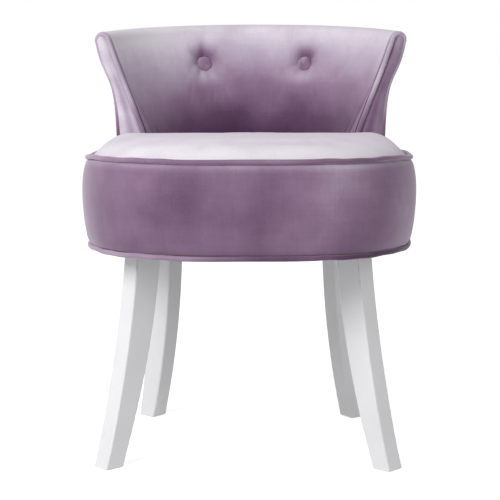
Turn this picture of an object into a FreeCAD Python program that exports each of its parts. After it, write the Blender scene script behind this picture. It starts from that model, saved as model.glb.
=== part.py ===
"""Vanity stool with a round-cornered drum seat, a low curved back and four splayed wooden legs.

Millimetres. +Z is up, the sitter faces -Y and +X is on the right in the front view.
The origin is on the floor, at the centre of the box around the stool.
"""
import FreeCAD
import Part
import Sketcher
import math
import os

Vector = FreeCAD.Vector
Rotation = FreeCAD.Rotation
Placement = FreeCAD.Placement

# Driving dimensions: millimetres, degrees and plain shares
SIZES = {
    # Seat plan, an oval of tangent arcs
    "seat_half_width": 229.0,
    "seat_half_depth": 213.0,
    "front_radius": 540.0,
    "side_radius": 517.0,
    "corner_radius": 164.0,
    # Seat heights above the floor
    "seat_base_height": 290.5,
    "band_height": 122.5,
    "band_widest_rise": 72.0,
    "band_top_inset": 5.5,
    "band_bottom_inset": 7.0,
    "crown_height": 28.0,
    "crown_run": 24.0,
    # Cloth, padding and piping
    "cover_thickness": 1.2,
    "fabric_gap": 0.3,
    "piping_radius": 3.3,
    "piping_seat": 2.3,
    "band_padding": 5.3,
    "dust_cover_thickness": 1.0,
    # Seat frame
    "hoop_thickness": 5.0,
    "frame_gap": 0.3,
    "base_board_thickness": 15.0,
    "deck_thickness": 12.0,
    "deck_top_rise": 84.5,
    "post_length": 46.0,
    "post_width": 30.0,
    "post_reach": 172.0,
    "post_reach_front": 148.0,
    # Back
    "back_axis_offset": 7.0,
    "back_tilt": 4.45,
    "back_half_span": 80.0,
    "back_inner_radius": 140.0,
    "back_outer_radius": 194.0,
    "back_skirt": 25.0,
    "roll_radius": 12.5,
    "roll_reach": 209.5,
    "roll_height": 149.1,
    "roll_drop": 5.0,
    "shell_thickness": 9.0,
    "rear_padding": 3.0,
    "shell_top_drop": 8.0,
    "rail_width": 18.0,
    "rail_height": 40.0,
    "slot_play": 0.3,
    "facing_thickness": 3.2,
    "facing_piping_seat": 0.2,
    # Buttons
    "button_radius": 11.0,
    "button_height": 6.0,
    "button_height_on_back": 106.0,
    "button_turn": 24.2,
    "button_lift": 1.2,
    "button_seat": 0.1,
    "tuft_depth": 7.5,
    "tuft_bowl_radius": 62.0,
    "tie_radius": 0.8,
    "tie_washer_radius": 8.0,
    "tie_washer_thickness": 1.6,
    "tie_washer_seat": 0.5,
    # Legs
    "leg_across": 29.0,
    "leg_top_width": 40.0,
    "leg_foot_width": 28.4,
    "leg_edge_radius": 2.5,
    "leg_foot_edge": 1.5,
    "front_foot_x": 186.0,
    "front_foot_y": 137.0,
    "front_leg_turn": 42.0,
    "front_leg_splay": 62.0,
    "rear_foot_x": 153.0,
    "rear_foot_y": 139.0,
    "rear_leg_turn": 38.5,
    "rear_leg_splay": 33.0,
    "leg_outer_turn": 10.0,
    "leg_inner_turn": 15.0,
    # Fasteners
    "leg_bolt_radius": 4.0,
    "leg_bolt_depth": 42.0,
    "leg_bolt_shift": 8.0,
    "leg_dowel_radius": 4.0,
    "leg_dowel_depth": 20.0,
    "leg_dowel_rise": 9.0,
    "leg_dowel_shift": -11.0,
    "hole_clearance": 0.05,
    "tee_nut_radius": 5.0,
    "tee_nut_flange_radius": 10.0,
    "tee_nut_flange": 1.5,
    "tee_nut_length": 12.0,
    "back_bolt_radius": 3.0,
    "back_bolt_grip": 22.0,
    "back_bolt_head": 5.0,
    "back_bolt_head_radius": 5.8,
    "back_washer_radius": 9.0,
    "back_washer_thickness": 1.6,
    "insert_radius": 4.5,
    "insert_length": 18.0,
    "screw_radius": 2.0,
    "screw_head_radius": 4.0,
    "screw_length": 38.0,
    "screw_spread": 14.0,
    "staple_inset": 24.0,
    "staple_width": 10.0,
    "staple_wire": 1.0,
    "staple_leg": 7.0,
}
# How far a cutting form stands clear of what it cuts
SPARE = 5.0
STAPLE_COUNT = 12
STAPLE_SQUARENESS = 0.62
BAND_STEPS = (-1.0, -0.5, 0.0, 0.5, 1.0)
PIPING_SIDES = 8
CROWN_STEPS = (0.0, 6.0, 16.0, 32.0, 56.0, 90.0, 130.0)
BACK_BOLT_PLACES = (-0.62, 0.0, 0.62)
# The button's dome, by shares of its radius and its height, from the rim to the middle
BUTTON_DOME = ((1.0, 0.3), (0.74, 0.64), (0.4, 0.9), (0.0, 1.0))

doc = FreeCAD.newDocument("vanity_stool")
sheet = doc.addObject("Spreadsheet::Sheet", "Sizes")
for row, (alias, amount) in enumerate(SIZES.items(), start=1):
    sheet.set(f"A{row}", alias.replace("_", " "))
    sheet.set(f"B{row}", str(amount))
    sheet.setAlias(f"B{row}", alias)
doc.recompute()


class Size:
    """A number together with the expression over the sheet's cells that gives it."""

    def __init__(self, value, text=None):
        self.value = float(value)
        self.text = text if text is not None else f"({value!r})"

    @staticmethod
    def of(other):
        return other if isinstance(other, Size) else Size(other)

    def __add__(self, other):
        other = Size.of(other)
        return Size(self.value + other.value, f"({self.text} + {other.text})")

    def __sub__(self, other):
        other = Size.of(other)
        return Size(self.value - other.value, f"({self.text} - {other.text})")

    def __mul__(self, other):
        other = Size.of(other)
        return Size(self.value * other.value, f"({self.text} * {other.text})")

    def __truediv__(self, other):
        other = Size.of(other)
        return Size(self.value / other.value, f"({self.text} / {other.text})")

    def __neg__(self):
        return Size(-self.value, f"(-1 * {self.text})")

    __radd__ = __add__
    __rmul__ = __mul__


def cell(alias):
    """The size that one cell of the sheet holds."""
    return Size(sheet.get(alias), f"Sizes.{alias}")


def cosine(angle):
    return Size(math.cos(math.radians(angle.value)), f"cos({angle.text})")


def sine(angle):
    return Size(math.sin(math.radians(angle.value)), f"sin({angle.text})")


def rise_share(travel, run):
    """The share 1 - exp(-travel/run) of a cushion's crown, reached at a distance in from its edge."""
    return Size(1 - math.exp(-travel / run.value), f"(1 - exp(-{travel} / {run.text}))")


# Sizes that follow from the driving ones
half_width = cell("seat_half_width")
half_depth = cell("seat_half_depth")
cover = cell("cover_thickness")
gap = cell("fabric_gap")
piping_radius = cell("piping_radius")
base_z = cell("seat_base_height")
welt_z = base_z + cell("band_height")
deck_top_z = base_z + cell("deck_top_rise")
board_top_z = base_z + cell("base_board_thickness")
deck_bottom_z = deck_top_z - cell("deck_thickness")
leg_top_z = base_z - cell("dust_cover_thickness")
under_cover = cover + gap
hoop_inset = cell("band_bottom_inset") + under_cover + cell("band_padding")
board_inset = hoop_inset + cell("hoop_thickness") + cell("frame_gap")
top_piping_inset = cell("band_top_inset") + cell("piping_seat")
bottom_piping_inset = cell("band_bottom_inset") + cell("piping_seat")
crown_inset = top_piping_inset + piping_radius + gap
crown_foot_z = welt_z - piping_radius - gap
back_y = cell("back_axis_offset")
roll_reach = cell("roll_reach")
roll_radius = cell("roll_radius")
half_span = cell("back_half_span")
back_outer = cell("back_outer_radius")
shell_outer = under_cover + cell("rear_padding") + gap
shell_inner = shell_outer + cell("shell_thickness")
rail_outer = back_outer - shell_inner
rail_inner = rail_outer - cell("rail_width")
rail_low = deck_top_z - welt_z
rail_high = rail_low + cell("rail_height")
button_back = cell("tuft_depth") - cell("button_lift")
facing_inset = piping_radius * 2 + cell("facing_piping_seat") + gap
back_tilt = cell("back_tilt")
roll_height = cell("roll_height")
# The stool's box runs from the front of the seat to the rear of the rolled back
roll_rear = back_y + roll_reach * cosine(back_tilt) - roll_height * sine(back_tilt) + roll_radius
centre_y = (half_depth - roll_rear) / 2


def bind(thing, path, size):
    thing.setExpression(path, size.text)


def new_body(label):
    """A body on the seat's centre line."""
    body = doc.addObject("PartDesign::Body", label)
    bind(body, ".Placement.Base.y", centre_y)
    return body


def back_body(label):
    """A body on the back's axis, which tilts forward so that the back is highest at its rear."""
    body = doc.addObject("PartDesign::Body", label)
    body.Placement = Placement(Vector(0, 0, 0), Rotation(Vector(1, 0, 0), back_tilt.value))
    bind(body, ".Placement.Rotation.Angle", back_tilt)
    bind(body, ".Placement.Base.y", centre_y + back_y)
    bind(body, ".Placement.Base.z", welt_z)
    return body


def origin_plane(body, role):
    return next(item for item in body.Origin.OriginFeatures if item.Role == role)


def new_sketch(body, name, role="XY_Plane", lift=None, turn=None):
    """A sketch on an origin plane, lifted along its normal or turned about the vertical axis."""
    sketch = body.newObject("Sketcher::SketchObject", name)
    sketch.AttachmentSupport = [(origin_plane(body, role), "")]
    sketch.MapMode = "FlatFace"
    if lift is not None:
        bind(sketch, ".AttachmentOffset.Base.z", lift)
    if turn is not None:
        sketch.AttachmentOffset = Placement(Vector(0, 0, 0), Rotation(Vector(0, 1, 0), turn.value))
        bind(sketch, ".AttachmentOffset.Rotation.Angle", turn)
    return sketch


def hold(sketch, kind, size, *where):
    """A dimension between two points or of one curve, bound to its size."""
    number = sketch.addConstraint(Sketcher.Constraint(kind, *where, size.value))
    bind(sketch, f"Constraints[{number}]", size)


def hold_point(sketch, curve, point, across, up):
    """Place a point by its two distances from the sketch's origin."""
    for kind, axis, size in (("DistanceX", -2, across), ("DistanceY", -1, up)):
        if size is None:
            continue
        if abs(size.value) < 1e-9:
            sketch.addConstraint(Sketcher.Constraint("PointOnObject", curve, point, axis))
        elif size.value > 0:
            hold(sketch, kind, size, -1, 1, curve, point)
        else:
            hold(sketch, kind, -size, curve, point, -1, 1)


def line(sketch, start, end):
    return sketch.addGeometry(Part.LineSegment(Vector(*start, 0), Vector(*end, 0)), False)


def arc(sketch, centre, radius, start, end):
    circle = Part.Circle(Vector(*centre, 0), Vector(0, 0, 1), radius)
    return sketch.addGeometry(Part.ArcOfCircle(circle, start, end), False)


def corner_centre(width, depth, front, side, corner):
    """The centre of the corner arc that touches the front arc and the side arc from inside."""
    front_y = front - depth
    side_x = width - side
    reach_front = front - corner
    reach_side = side - corner
    apart = math.hypot(side_x, front_y)
    along = (reach_front**2 - reach_side**2 + apart**2) / (2 * apart)
    across = math.sqrt(reach_front**2 - along**2)
    unit_x, unit_y = side_x / apart, -front_y / apart
    options = [
        (along * unit_x - turn * across * unit_y, front_y + along * unit_y + turn * across * unit_x)
        for turn in (1, -1)
    ]
    return max(options, key=lambda point: point[0] - point[1])


def draw_oval(sketch, inset, share=1.0, split=False):
    """The seat's plan: eight tangent arcs, drawn in by an inset and scaled by a share.

    With split the front arc is two arcs that meet at the middle of the front, where a path starts.
    """
    share = Size.of(share)
    front = (cell("front_radius") - inset) * share
    side = (cell("side_radius") - inset) * share
    corner = (cell("corner_radius") - inset) * share
    front_shift = (cell("front_radius") - half_depth) * share
    side_shift = (cell("side_radius") - half_width) * share
    width = (half_width - inset) * share
    depth = (half_depth - inset) * share
    cx, cy = corner_centre(width.value, depth.value, front.value, side.value, corner.value)
    low = math.atan2(cy - front_shift.value, cx)
    high = math.atan2(cy, cx + side_shift.value)
    turn = math.pi
    front_arcs = [(-turn - low, low)]
    if split:
        front_arcs = [(-turn / 2, low), (-turn - low, -turn / 2)]
    front_centre = (0, front_shift.value)
    pieces = [(front_centre, front, *front_arcs[0])]
    pieces += [
        ((cx, cy), corner, low, high),
        ((-side_shift.value, 0), side, high, -high),
        ((cx, -cy), corner, -high, -low),
        ((0, -front_shift.value), front, -low, turn + low),
        ((-cx, -cy), corner, turn + low, turn + high),
        ((side_shift.value, 0), side, turn + high, turn - high),
        ((-cx, cy), corner, turn - high, turn - low),
    ]
    if split:
        pieces.append((front_centre, front, *front_arcs[1]))
    arcs = [arc(sketch, centre, radius.value, start, end) for centre, radius, start, end in pieces]
    for number, this in enumerate(arcs):
        following = arcs[(number + 1) % len(arcs)]
        if split and following == arcs[0]:
            sketch.addConstraint(Sketcher.Constraint("Coincident", this, 2, following, 1))
            sketch.addConstraint(Sketcher.Constraint("Coincident", this, 3, following, 3))
            sketch.addConstraint(Sketcher.Constraint("PointOnObject", this, 2, -2))
        else:
            sketch.addConstraint(Sketcher.Constraint("Tangent", this, 2, following, 1))
    for number in (1, 3, 5, 7):
        hold(sketch, "Radius", corner, arcs[number])
    hold(sketch, "Radius", front, arcs[0])
    hold(sketch, "Radius", front, arcs[4])
    hold(sketch, "Radius", side, arcs[2])
    hold(sketch, "Radius", side, arcs[6])
    zero = Size(0)
    hold_point(sketch, arcs[0], 3, zero, front_shift)
    hold_point(sketch, arcs[4], 3, zero, -front_shift)
    hold_point(sketch, arcs[2], 3, -side_shift, zero)
    hold_point(sketch, arcs[6], 3, side_shift, zero)
    return sketch


def oval_sketch(body, name, height, inset, share=1.0, split=False):
    return draw_oval(new_sketch(body, name, lift=height), Size.of(inset), share, split)


def loft(body, name, sections, cutting=False):
    """A solid with straight walls from section to section, added to the body or cut from it."""
    kind = "PartDesign::SubtractiveLoft" if cutting else "PartDesign::AdditiveLoft"
    feature = body.newObject(kind, name)
    feature.Profile = sections[0]
    feature.Sections = sections[1:]
    feature.Ruled = True
    feature.Closed = False
    return feature


def pad(body, name, sketch, length, reverse=False, middle=False):
    feature = body.newObject("PartDesign::Pad", name)
    feature.Profile = sketch
    feature.Length = length.value
    bind(feature, "Length", length)
    feature.Reversed = reverse
    if middle:
        feature.Midplane = True
    return feature


def pocket(body, name, sketch, length, reverse=False):
    """A straight cut below the sketch's plane, or above it where reverse is set."""
    feature = body.newObject("PartDesign::Pocket", name)
    feature.Profile = sketch
    feature.Length = length.value
    bind(feature, "Length", length)
    feature.Reversed = reverse
    return feature


def cut(label, base, tool):
    feature = doc.addObject("Part::Cut", label)
    feature.Base = base
    feature.Tool = tool
    return feature


def fuse(label, parts):
    feature = doc.addObject("Part::MultiFuse", label)
    feature.Shapes = parts
    return feature


def group(label, members):
    """Separate solids that share one node."""
    feature = doc.addObject("Part::Compound", label)
    feature.Links = members
    return feature


def cylinder(label, radius, bottom, height, across=None, along=None):
    """An upright cylinder, placed by its distances from the seat's centre line."""
    rod = doc.addObject("Part::Cylinder", label)
    bind(rod, "Radius", radius)
    bind(rod, "Height", height)
    bind(rod, ".Placement.Base.x", Size.of(across or 0))
    bind(rod, ".Placement.Base.y", centre_y + (along or 0))
    bind(rod, ".Placement.Base.z", bottom)
    return rod


# Seat: the upholstered drum
def band_sections(body, name, depth):
    """Ovals of the bulged side, from its lower edge by the widest level to its upper edge."""
    low = base_z + piping_radius + gap
    widest = base_z + cell("band_widest_rise")
    sections = []
    for number, step in enumerate(BAND_STEPS):
        end, inset = (low, "band_bottom_inset") if step < 0 else (crown_foot_z, "band_top_inset")
        height = widest + (end - widest) * abs(step)
        sections.append(oval_sketch(body, f"{name}_{number}", height, cell(inset) * step**2 + depth))
    return sections


def crown_sections(body, name, depth):
    """Ovals of the domed top, which rises fast at its edge and is nearly flat in the middle."""
    sections = []
    for number, travel in enumerate(CROWN_STEPS):
        rise = cell("crown_height") * rise_share(travel, cell("crown_run"))
        height = crown_foot_z + rise - (depth if number else Size(0))
        share = Size(1) - Size(travel) / half_depth
        sections.append(oval_sketch(body, f"{name}_{number}", height, crown_inset + depth, share))
    return sections


def make_seat_covers():
    band = new_body("seat_band_cover")
    loft(band, "band_outside", band_sections(band, "band_out", Size(0)))
    loft(band, "band_inside", band_sections(band, "band_in", cover), cutting=True)
    top = new_body("top_cover_form")
    loft(top, "crown_outside", crown_sections(top, "crown_out", Size(0)))
    loft(top, "crown_inside", crown_sections(top, "crown_in", cover), cutting=True)
    return band, top


def draw_cord_section(sketch, across, up):
    """A regular polygon in place of the cord's circle, which keeps the piping's facets few."""
    circle = Part.Circle(Vector(across.value, up.value, 0), Vector(0, 0, 1), piping_radius.value)
    rim = sketch.addGeometry(circle, True)
    hold(sketch, "Radius", piping_radius, rim)
    hold_point(sketch, rim, 3, across, up)
    turns = [2 * math.pi * number / PIPING_SIDES for number in range(PIPING_SIDES)]
    radius = piping_radius.value
    corners = [
        (across.value + radius * math.cos(turn), up.value + radius * math.sin(turn)) for turn in turns
    ]
    sides = [
        line(sketch, corner, corners[(number + 1) % PIPING_SIDES])
        for number, corner in enumerate(corners)
    ]
    for number, this in enumerate(sides):
        following = sides[(number + 1) % PIPING_SIDES]
        sketch.addConstraint(Sketcher.Constraint("Coincident", this, 2, following, 1))
        sketch.addConstraint(Sketcher.Constraint("PointOnObject", this, 1, rim))
        if number:
            sketch.addConstraint(Sketcher.Constraint("Equal", sides[0], this))
    sketch.addConstraint(Sketcher.Constraint("Horizontal", sides[0], 1, rim, 3))


def make_piping(label, height, inset):
    """A covered cord round the seat, its section carried along the oval."""
    body = new_body(label)
    path = oval_sketch(body, f"{label}_path", height, inset, split=True)
    section = new_sketch(body, f"{label}_section", "YZ_Plane")
    draw_cord_section(section, inset - half_depth, height)
    pipe = body.newObject("PartDesign::AdditivePipe", f"{label}_pipe")
    pipe.Profile = section
    pipe.Spine = (path, [f"Edge{number}" for number in range(1, 10)])
    return body


def make_seat_padding():
    wrap = new_body("seat_band_padding")
    loft(wrap, "wrap_outside", band_sections(wrap, "wrap_out", under_cover))
    above = oval_sketch(wrap, "wrap_top", deck_top_z, Size(-10))
    pocket(wrap, "wrap_trim", above, cell("band_height"), reverse=True)
    inside = oval_sketch(wrap, "wrap_inside", welt_z, hoop_inset - gap)
    pocket(wrap, "wrap_bore", inside, cell("band_height") + 10)
    return wrap


def make_seat_foam():
    """The seat cushion: its side carries the band and its crown the top cover."""
    foam = new_body("foam_form")
    loft(foam, "foam_side", band_sections(foam, "foam_side", under_cover))
    below = oval_sketch(foam, "foam_below", deck_top_z + gap, Size(-10))
    pocket(foam, "foam_trim", below, cell("band_height"))
    loft(foam, "foam_crown", crown_sections(foam, "foam_crown", under_cover))
    return foam


def make_crown_clearance():
    """Everything up to just above the seat's surface, to trim what stands on the seat."""
    body = new_body("seat_clearance")
    sections = crown_sections(body, "clear", -gap)
    loft(body, "clear_crown", sections)
    foot = oval_sketch(body, "clear_foot", crown_foot_z, crown_inset - gap)
    pad(body, "clear_skirt", foot, cell("band_height"), reverse=True)
    return body


# Seat frame
def make_plate(label, bottom, thickness, inset):
    body = new_body(label)
    outline = oval_sketch(body, f"{label}_outline", bottom, inset)
    pad(body, f"{label}_pad", outline, thickness)
    return body


def make_hoop():
    body = make_plate("seat_hoop", base_z, deck_top_z - base_z, hoop_inset)
    inside = oval_sketch(body, "hoop_inside", deck_top_z, hoop_inset + cell("hoop_thickness"))
    pocket(body, "hoop_bore", inside, deck_top_z - base_z)
    return body


POST_PLACES = (
    ("front", 0, -1),
    ("right", 1, 0),
    ("rear", 0, 1),
    ("left", -1, 0),
)


def post_place(across, along):
    reach_x = cell("post_reach") * across
    reach_y = cell("post_reach_front") * along
    return reach_x, reach_y


def make_posts():
    """Blocks between the two boards, one at the middle of each side."""
    posts = []
    for side, across, along in POST_PLACES:
        block = doc.addObject("Part::Box", f"post_{side}")
        long_side, short_side = cell("post_length"), cell("post_width")
        length, width = (short_side, long_side) if across else (long_side, short_side)
        reach_x, reach_y = post_place(across, along)
        bind(block, "Length", length)
        bind(block, "Width", width)
        bind(block, "Height", deck_bottom_z - board_top_z)
        bind(block, ".Placement.Base.x", reach_x - length / 2)
        bind(block, ".Placement.Base.y", centre_y + reach_y - width / 2)
        bind(block, ".Placement.Base.z", board_top_z)
        posts.append(block)
    return posts


def make_screw(label, across, along, head_z, up):
    """A countersunk wood screw whose head lies flush and whose shank points up or down."""
    head_height = cell("screw_head_radius") - cell("screw_radius")
    head = doc.addObject("Part::Cone", f"{label}_head")
    wide, narrow = cell("screw_head_radius"), cell("screw_radius")
    bind(head, "Radius1", wide if up else narrow)
    bind(head, "Radius2", narrow if up else wide)
    bind(head, "Height", head_height)
    bind(head, ".Placement.Base.x", across)
    bind(head, ".Placement.Base.y", centre_y + along)
    bind(head, ".Placement.Base.z", head_z if up else head_z - head_height)
    shank_bottom = head_z if up else head_z - cell("screw_length")
    shank = cylinder(f"{label}_shank", narrow, shank_bottom, cell("screw_length"), across, along)
    return fuse(label, [head, shank])


def make_frame_screws():
    screws = []
    for side, across, along in POST_PLACES:
        reach_x, reach_y = post_place(across, along)
        spread_x = cell("screw_spread") * along
        spread_y = cell("screw_spread") * across
        for turn in (-1, 1):
            x, y = reach_x + spread_x * turn, reach_y + spread_y * turn
            name = f"{side}_{'a' if turn < 0 else 'b'}"
            screws.append(make_screw(f"deck_screw_{name}", x, y, deck_top_z, up=False))
        screws.append(make_screw(f"base_screw_{side}", reach_x, reach_y, base_z, up=True))
    return group("frame_screws", screws)


# Legs
LEG_PLACES = (
    ("front_left_leg", -1, -1, "front"),
    ("front_right_leg", 1, -1, "front"),
    ("rear_left_leg", -1, 1, "rear"),
    ("rear_right_leg", 1, 1, "rear"),
)


def leg_heading(side_x, side_y, pair):
    """The direction, in degrees, in which the leg leans outward."""
    turn = cell(f"{pair}_leg_turn")
    if side_x > 0:
        return turn if side_y > 0 else -turn
    return Size(180) - turn if side_y > 0 else turn - Size(180)


def leg_point(side_x, side_y, pair, shift):
    """A point of the leg's own plane, shift out from the middle of its top."""
    heading = leg_heading(side_x, side_y, pair)
    out = shift - cell(f"{pair}_leg_splay")
    x = cell(f"{pair}_foot_x") * side_x + out * cosine(heading)
    y = cell(f"{pair}_foot_y") * side_y + out * sine(heading)
    return x, y


def sabre_arc(sketch, top, foot, turn):
    """An arc from the top to the foot that turns outward by an angle on its way down."""
    span = math.dist(top, foot)
    radius = span / (2 * math.sin(math.radians(turn.value) / 2))
    lean = math.atan2(foot[0] - top[0], top[1] - foot[1])
    sag = radius * math.cos(math.radians(turn.value) / 2)
    middle = ((top[0] + foot[0]) / 2, (top[1] + foot[1]) / 2)
    centre = (middle[0] + sag * math.cos(lean), middle[1] + sag * math.sin(lean))
    start = math.atan2(top[1] - centre[1], top[0] - centre[0])
    end = math.atan2(foot[1] - centre[1], foot[0] - centre[0])
    return arc(sketch, centre, radius, start, end if end > start else end + 2 * math.pi)


def is_long_edge(body, edge, face_side):
    """Whether an edge runs the leg's length on one of its two flat sides."""
    local = body.Placement.inverse()
    ends = [local.multVec(vertex.Point).y * face_side for vertex in edge.Vertexes]
    flat = cell("leg_across").value / 2
    return edge.BoundBox.ZLength > leg_top_z.value / 2 and min(ends) > flat - 1e-6


def make_leg(label, side_x, side_y, pair):
    """A sabre leg: its curved side view, cut through a board, with its long edges rounded."""
    body = doc.addObject("PartDesign::Body", label)
    heading = leg_heading(side_x, side_y, pair)
    bind(body, ".Placement.Base.x", cell(f"{pair}_foot_x") * side_x)
    bind(body, ".Placement.Base.y", centre_y + cell(f"{pair}_foot_y") * side_y)
    body.Placement = Placement(Vector(0, 0, 0), Rotation(Vector(0, 0, 1), heading.value))
    bind(body, ".Placement.Rotation.Angle", heading)
    sketch = new_sketch(body, f"{label}_side", "XZ_Plane")
    splay = cell(f"{pair}_leg_splay")
    half_top, half_foot = cell("leg_top_width") / 2, cell("leg_foot_width") / 2
    corners = {
        "outer_top": (half_top - splay, leg_top_z),
        "inner_top": (-half_top - splay, leg_top_z),
        "inner_foot": (-half_foot, Size(0)),
        "outer_foot": (half_foot, Size(0)),
    }
    at = {name: (x.value, z.value) for name, (x, z) in corners.items()}
    inner = sabre_arc(sketch, at["inner_top"], at["inner_foot"], cell("leg_inner_turn"))
    foot = line(sketch, at["inner_foot"], at["outer_foot"])
    outer = sabre_arc(sketch, at["outer_top"], at["outer_foot"], cell("leg_outer_turn"))
    top = line(sketch, at["outer_top"], at["inner_top"])
    for first, first_end, second, second_end in (
        (inner, 2, foot, 1),
        (foot, 2, outer, 2),
        (outer, 1, top, 1),
        (top, 2, inner, 1),
    ):
        sketch.addConstraint(Sketcher.Constraint("Coincident", first, first_end, second, second_end))
    hold_point(sketch, foot, 1, *corners["inner_foot"])
    hold_point(sketch, foot, 2, *corners["outer_foot"])
    hold_point(sketch, top, 1, *corners["outer_top"])
    hold_point(sketch, top, 2, *corners["inner_top"])
    for curve, ends, turn in (
        (inner, ("inner_top", "inner_foot"), cell("leg_inner_turn")),
        (outer, ("outer_top", "outer_foot"), cell("leg_outer_turn")),
    ):
        (x1, z1), (x2, z2) = (corners[end] for end in ends)
        dx, dz = x1 - x2, z1 - z2
        span = Size(math.hypot(dx.value, dz.value), f"sqrt({dx.text}^2 + {dz.text}^2)")
        hold(sketch, "Radius", span / (sine(turn / 2) * 2), curve)
    pad(body, f"{label}_pad", sketch, cell("leg_across"), middle=True)
    for face_side in (-1, 1):
        doc.recompute()
        plain = body.Tip
        long_edges = [
            f"Edge{number}"
            for number, edge in enumerate(body.Shape.Edges, start=1)
            if is_long_edge(body, edge, face_side)
        ]
        rounding = body.newObject("PartDesign::Fillet", f"{label}_long_edges")
        rounding.Base = (plain, long_edges)
        bind(rounding, "Radius", cell("leg_edge_radius"))
    doc.recompute()
    foot_edges = [
        f"Edge{number}"
        for number, edge in enumerate(body.Shape.Edges, start=1)
        if edge.BoundBox.ZMax < 1e-6
    ]
    chamfer = body.newObject("PartDesign::Chamfer", f"{label}_foot_edge")
    chamfer.Base = (rounding, foot_edges)
    bind(chamfer, "Size", cell("leg_foot_edge"))
    for name in ("bolt", "dowel"):
        shift, depth = cell(f"leg_{name}_shift"), cell(f"leg_{name}_depth")
        radius = cell(f"leg_{name}_radius") + cell("hole_clearance")
        mouth = new_sketch(body, f"{label}_{name}_mouth", lift=leg_top_z)
        centre = (shift - splay).value
        rim = mouth.addGeometry(Part.Circle(Vector(centre, 0, 0), Vector(0, 0, 1), radius.value), False)
        hold(mouth, "Radius", radius, rim)
        hold_point(mouth, rim, 3, shift - splay, Size(0))
        pocket(body, f"{label}_{name}_bore", mouth, depth + cell("hole_clearance"))
    return body


def at_each_leg(make):
    """One piece at each leg, made by a function of a name, a side of the stool and a pair."""
    return [make(f"{name}_{make.__name__}", sx, sy, pair) for name, sx, sy, pair in LEG_PLACES]


def hanger_bolt(label, side_x, side_y, pair):
    x, y = leg_point(side_x, side_y, pair, cell("leg_bolt_shift"))
    bottom = leg_top_z - cell("leg_bolt_depth")
    length = cell("leg_bolt_depth") + cell("base_board_thickness") + cell("tee_nut_flange") + 3
    return cylinder(label, cell("leg_bolt_radius"), bottom, length, x, y)


def tee_nut(label, side_x, side_y, pair):
    x, y = leg_point(side_x, side_y, pair, cell("leg_bolt_shift"))
    length = cell("tee_nut_length")
    barrel = cylinder(f"{label}_barrel", cell("tee_nut_radius"), board_top_z - length, length, x, y)
    flange = cylinder(
        f"{label}_flange", cell("tee_nut_flange_radius"), board_top_z, cell("tee_nut_flange"), x, y
    )
    thread = cylinder(
        f"{label}_thread",
        cell("leg_bolt_radius") + cell("hole_clearance"),
        board_top_z - length - 1,
        length + cell("tee_nut_flange") + 2,
        x,
        y,
    )
    return cut(label, fuse(f"{label}_body", [barrel, flange]), thread)


def dowel(label, side_x, side_y, pair):
    x, y = leg_point(side_x, side_y, pair, cell("leg_dowel_shift"))
    depth = cell("leg_dowel_depth")
    length = depth + cell("dust_cover_thickness") + cell("leg_dowel_rise")
    return cylinder(label, cell("leg_dowel_radius"), leg_top_z - depth, length, x, y)


def board_bore(label, side_x, side_y, pair):
    """The holes over one leg: the tee nut's through the board, the dowel's part of the way."""
    clearance = cell("hole_clearance")
    bolt_x, bolt_y = leg_point(side_x, side_y, pair, cell("leg_bolt_shift"))
    dowel_x, dowel_y = leg_point(side_x, side_y, pair, cell("leg_dowel_shift"))
    below = leg_top_z - 1
    nut = cylinder(
        f"{label}_nut", cell("tee_nut_radius") + clearance, below, board_top_z - below + 1, bolt_x, bolt_y
    )
    pin_height = base_z - below + cell("leg_dowel_rise") + clearance
    pin = cylinder(
        f"{label}_pin", cell("leg_dowel_radius") + clearance, below, pin_height, dowel_x, dowel_y
    )
    return fuse(label, [nut, pin])


def make_staples():
    """Staples round the dust cover, each a crown wire with two legs driven into the board."""
    inset = cell("staple_inset")
    reach_x = (half_width - inset).value
    reach_y = (half_depth - inset).value
    staples = []
    for number in range(STAPLE_COUNT):
        angle = 2 * math.pi * (number + 0.5) / STAPLE_COUNT
        wire_x = reach_x * math.copysign(abs(math.cos(angle)) ** STAPLE_SQUARENESS, math.cos(angle))
        wire_y = reach_y * math.copysign(abs(math.sin(angle)) ** STAPLE_SQUARENESS, math.sin(angle))
        heading = math.degrees(math.atan2(wire_y / reach_y**2, wire_x / reach_x**2)) + 90
        turn = Placement(Vector(0, 0, 0), Rotation(Vector(0, 0, 1), heading))
        wire, width = cell("staple_wire"), cell("staple_width")
        bars = []
        for part, length, height, shift, bottom in (
            ("crown", width, wire, -width / 2, leg_top_z - wire),
            ("leg_a", wire, cell("staple_leg"), -width / 2, leg_top_z),
            ("leg_b", wire, cell("staple_leg"), width / 2 - wire, leg_top_z),
        ):
            bar = doc.addObject("Part::Box", f"staple_{number}_{part}")
            bind(bar, "Length", length)
            bind(bar, "Width", wire)
            bind(bar, "Height", height)
            corner = turn.multVec(Vector(shift.value, -wire.value / 2, 0))
            bar.Placement = Placement(
                Vector(wire_x + corner.x, centre_y.value + wire_y + corner.y, bottom.value), turn.Rotation
            )
            bars.append(bar)
        staples.append(fuse(f"staple_{number}", bars))
    return group("dust_cover_staples", staples)


# Back: sections turned about the back's tilted axis
def inner_lean(depth=0.0):
    """The angle from the axis of the straight inner face, which touches the roll."""
    across = roll_reach.value - cell("back_inner_radius").value - depth
    rise = roll_height.value + cell("back_skirt").value
    return math.atan2(across, rise) - math.asin((roll_radius.value - depth) / math.hypot(across, rise))


def sweep_radius():
    """Radius of the outer face's hollow curve, upright at the seat and touching the roll."""
    shift = roll_reach - back_outer
    rise = roll_height * roll_height + shift * shift - roll_radius * roll_radius
    return rise / ((shift + roll_radius) * 2)


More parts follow.
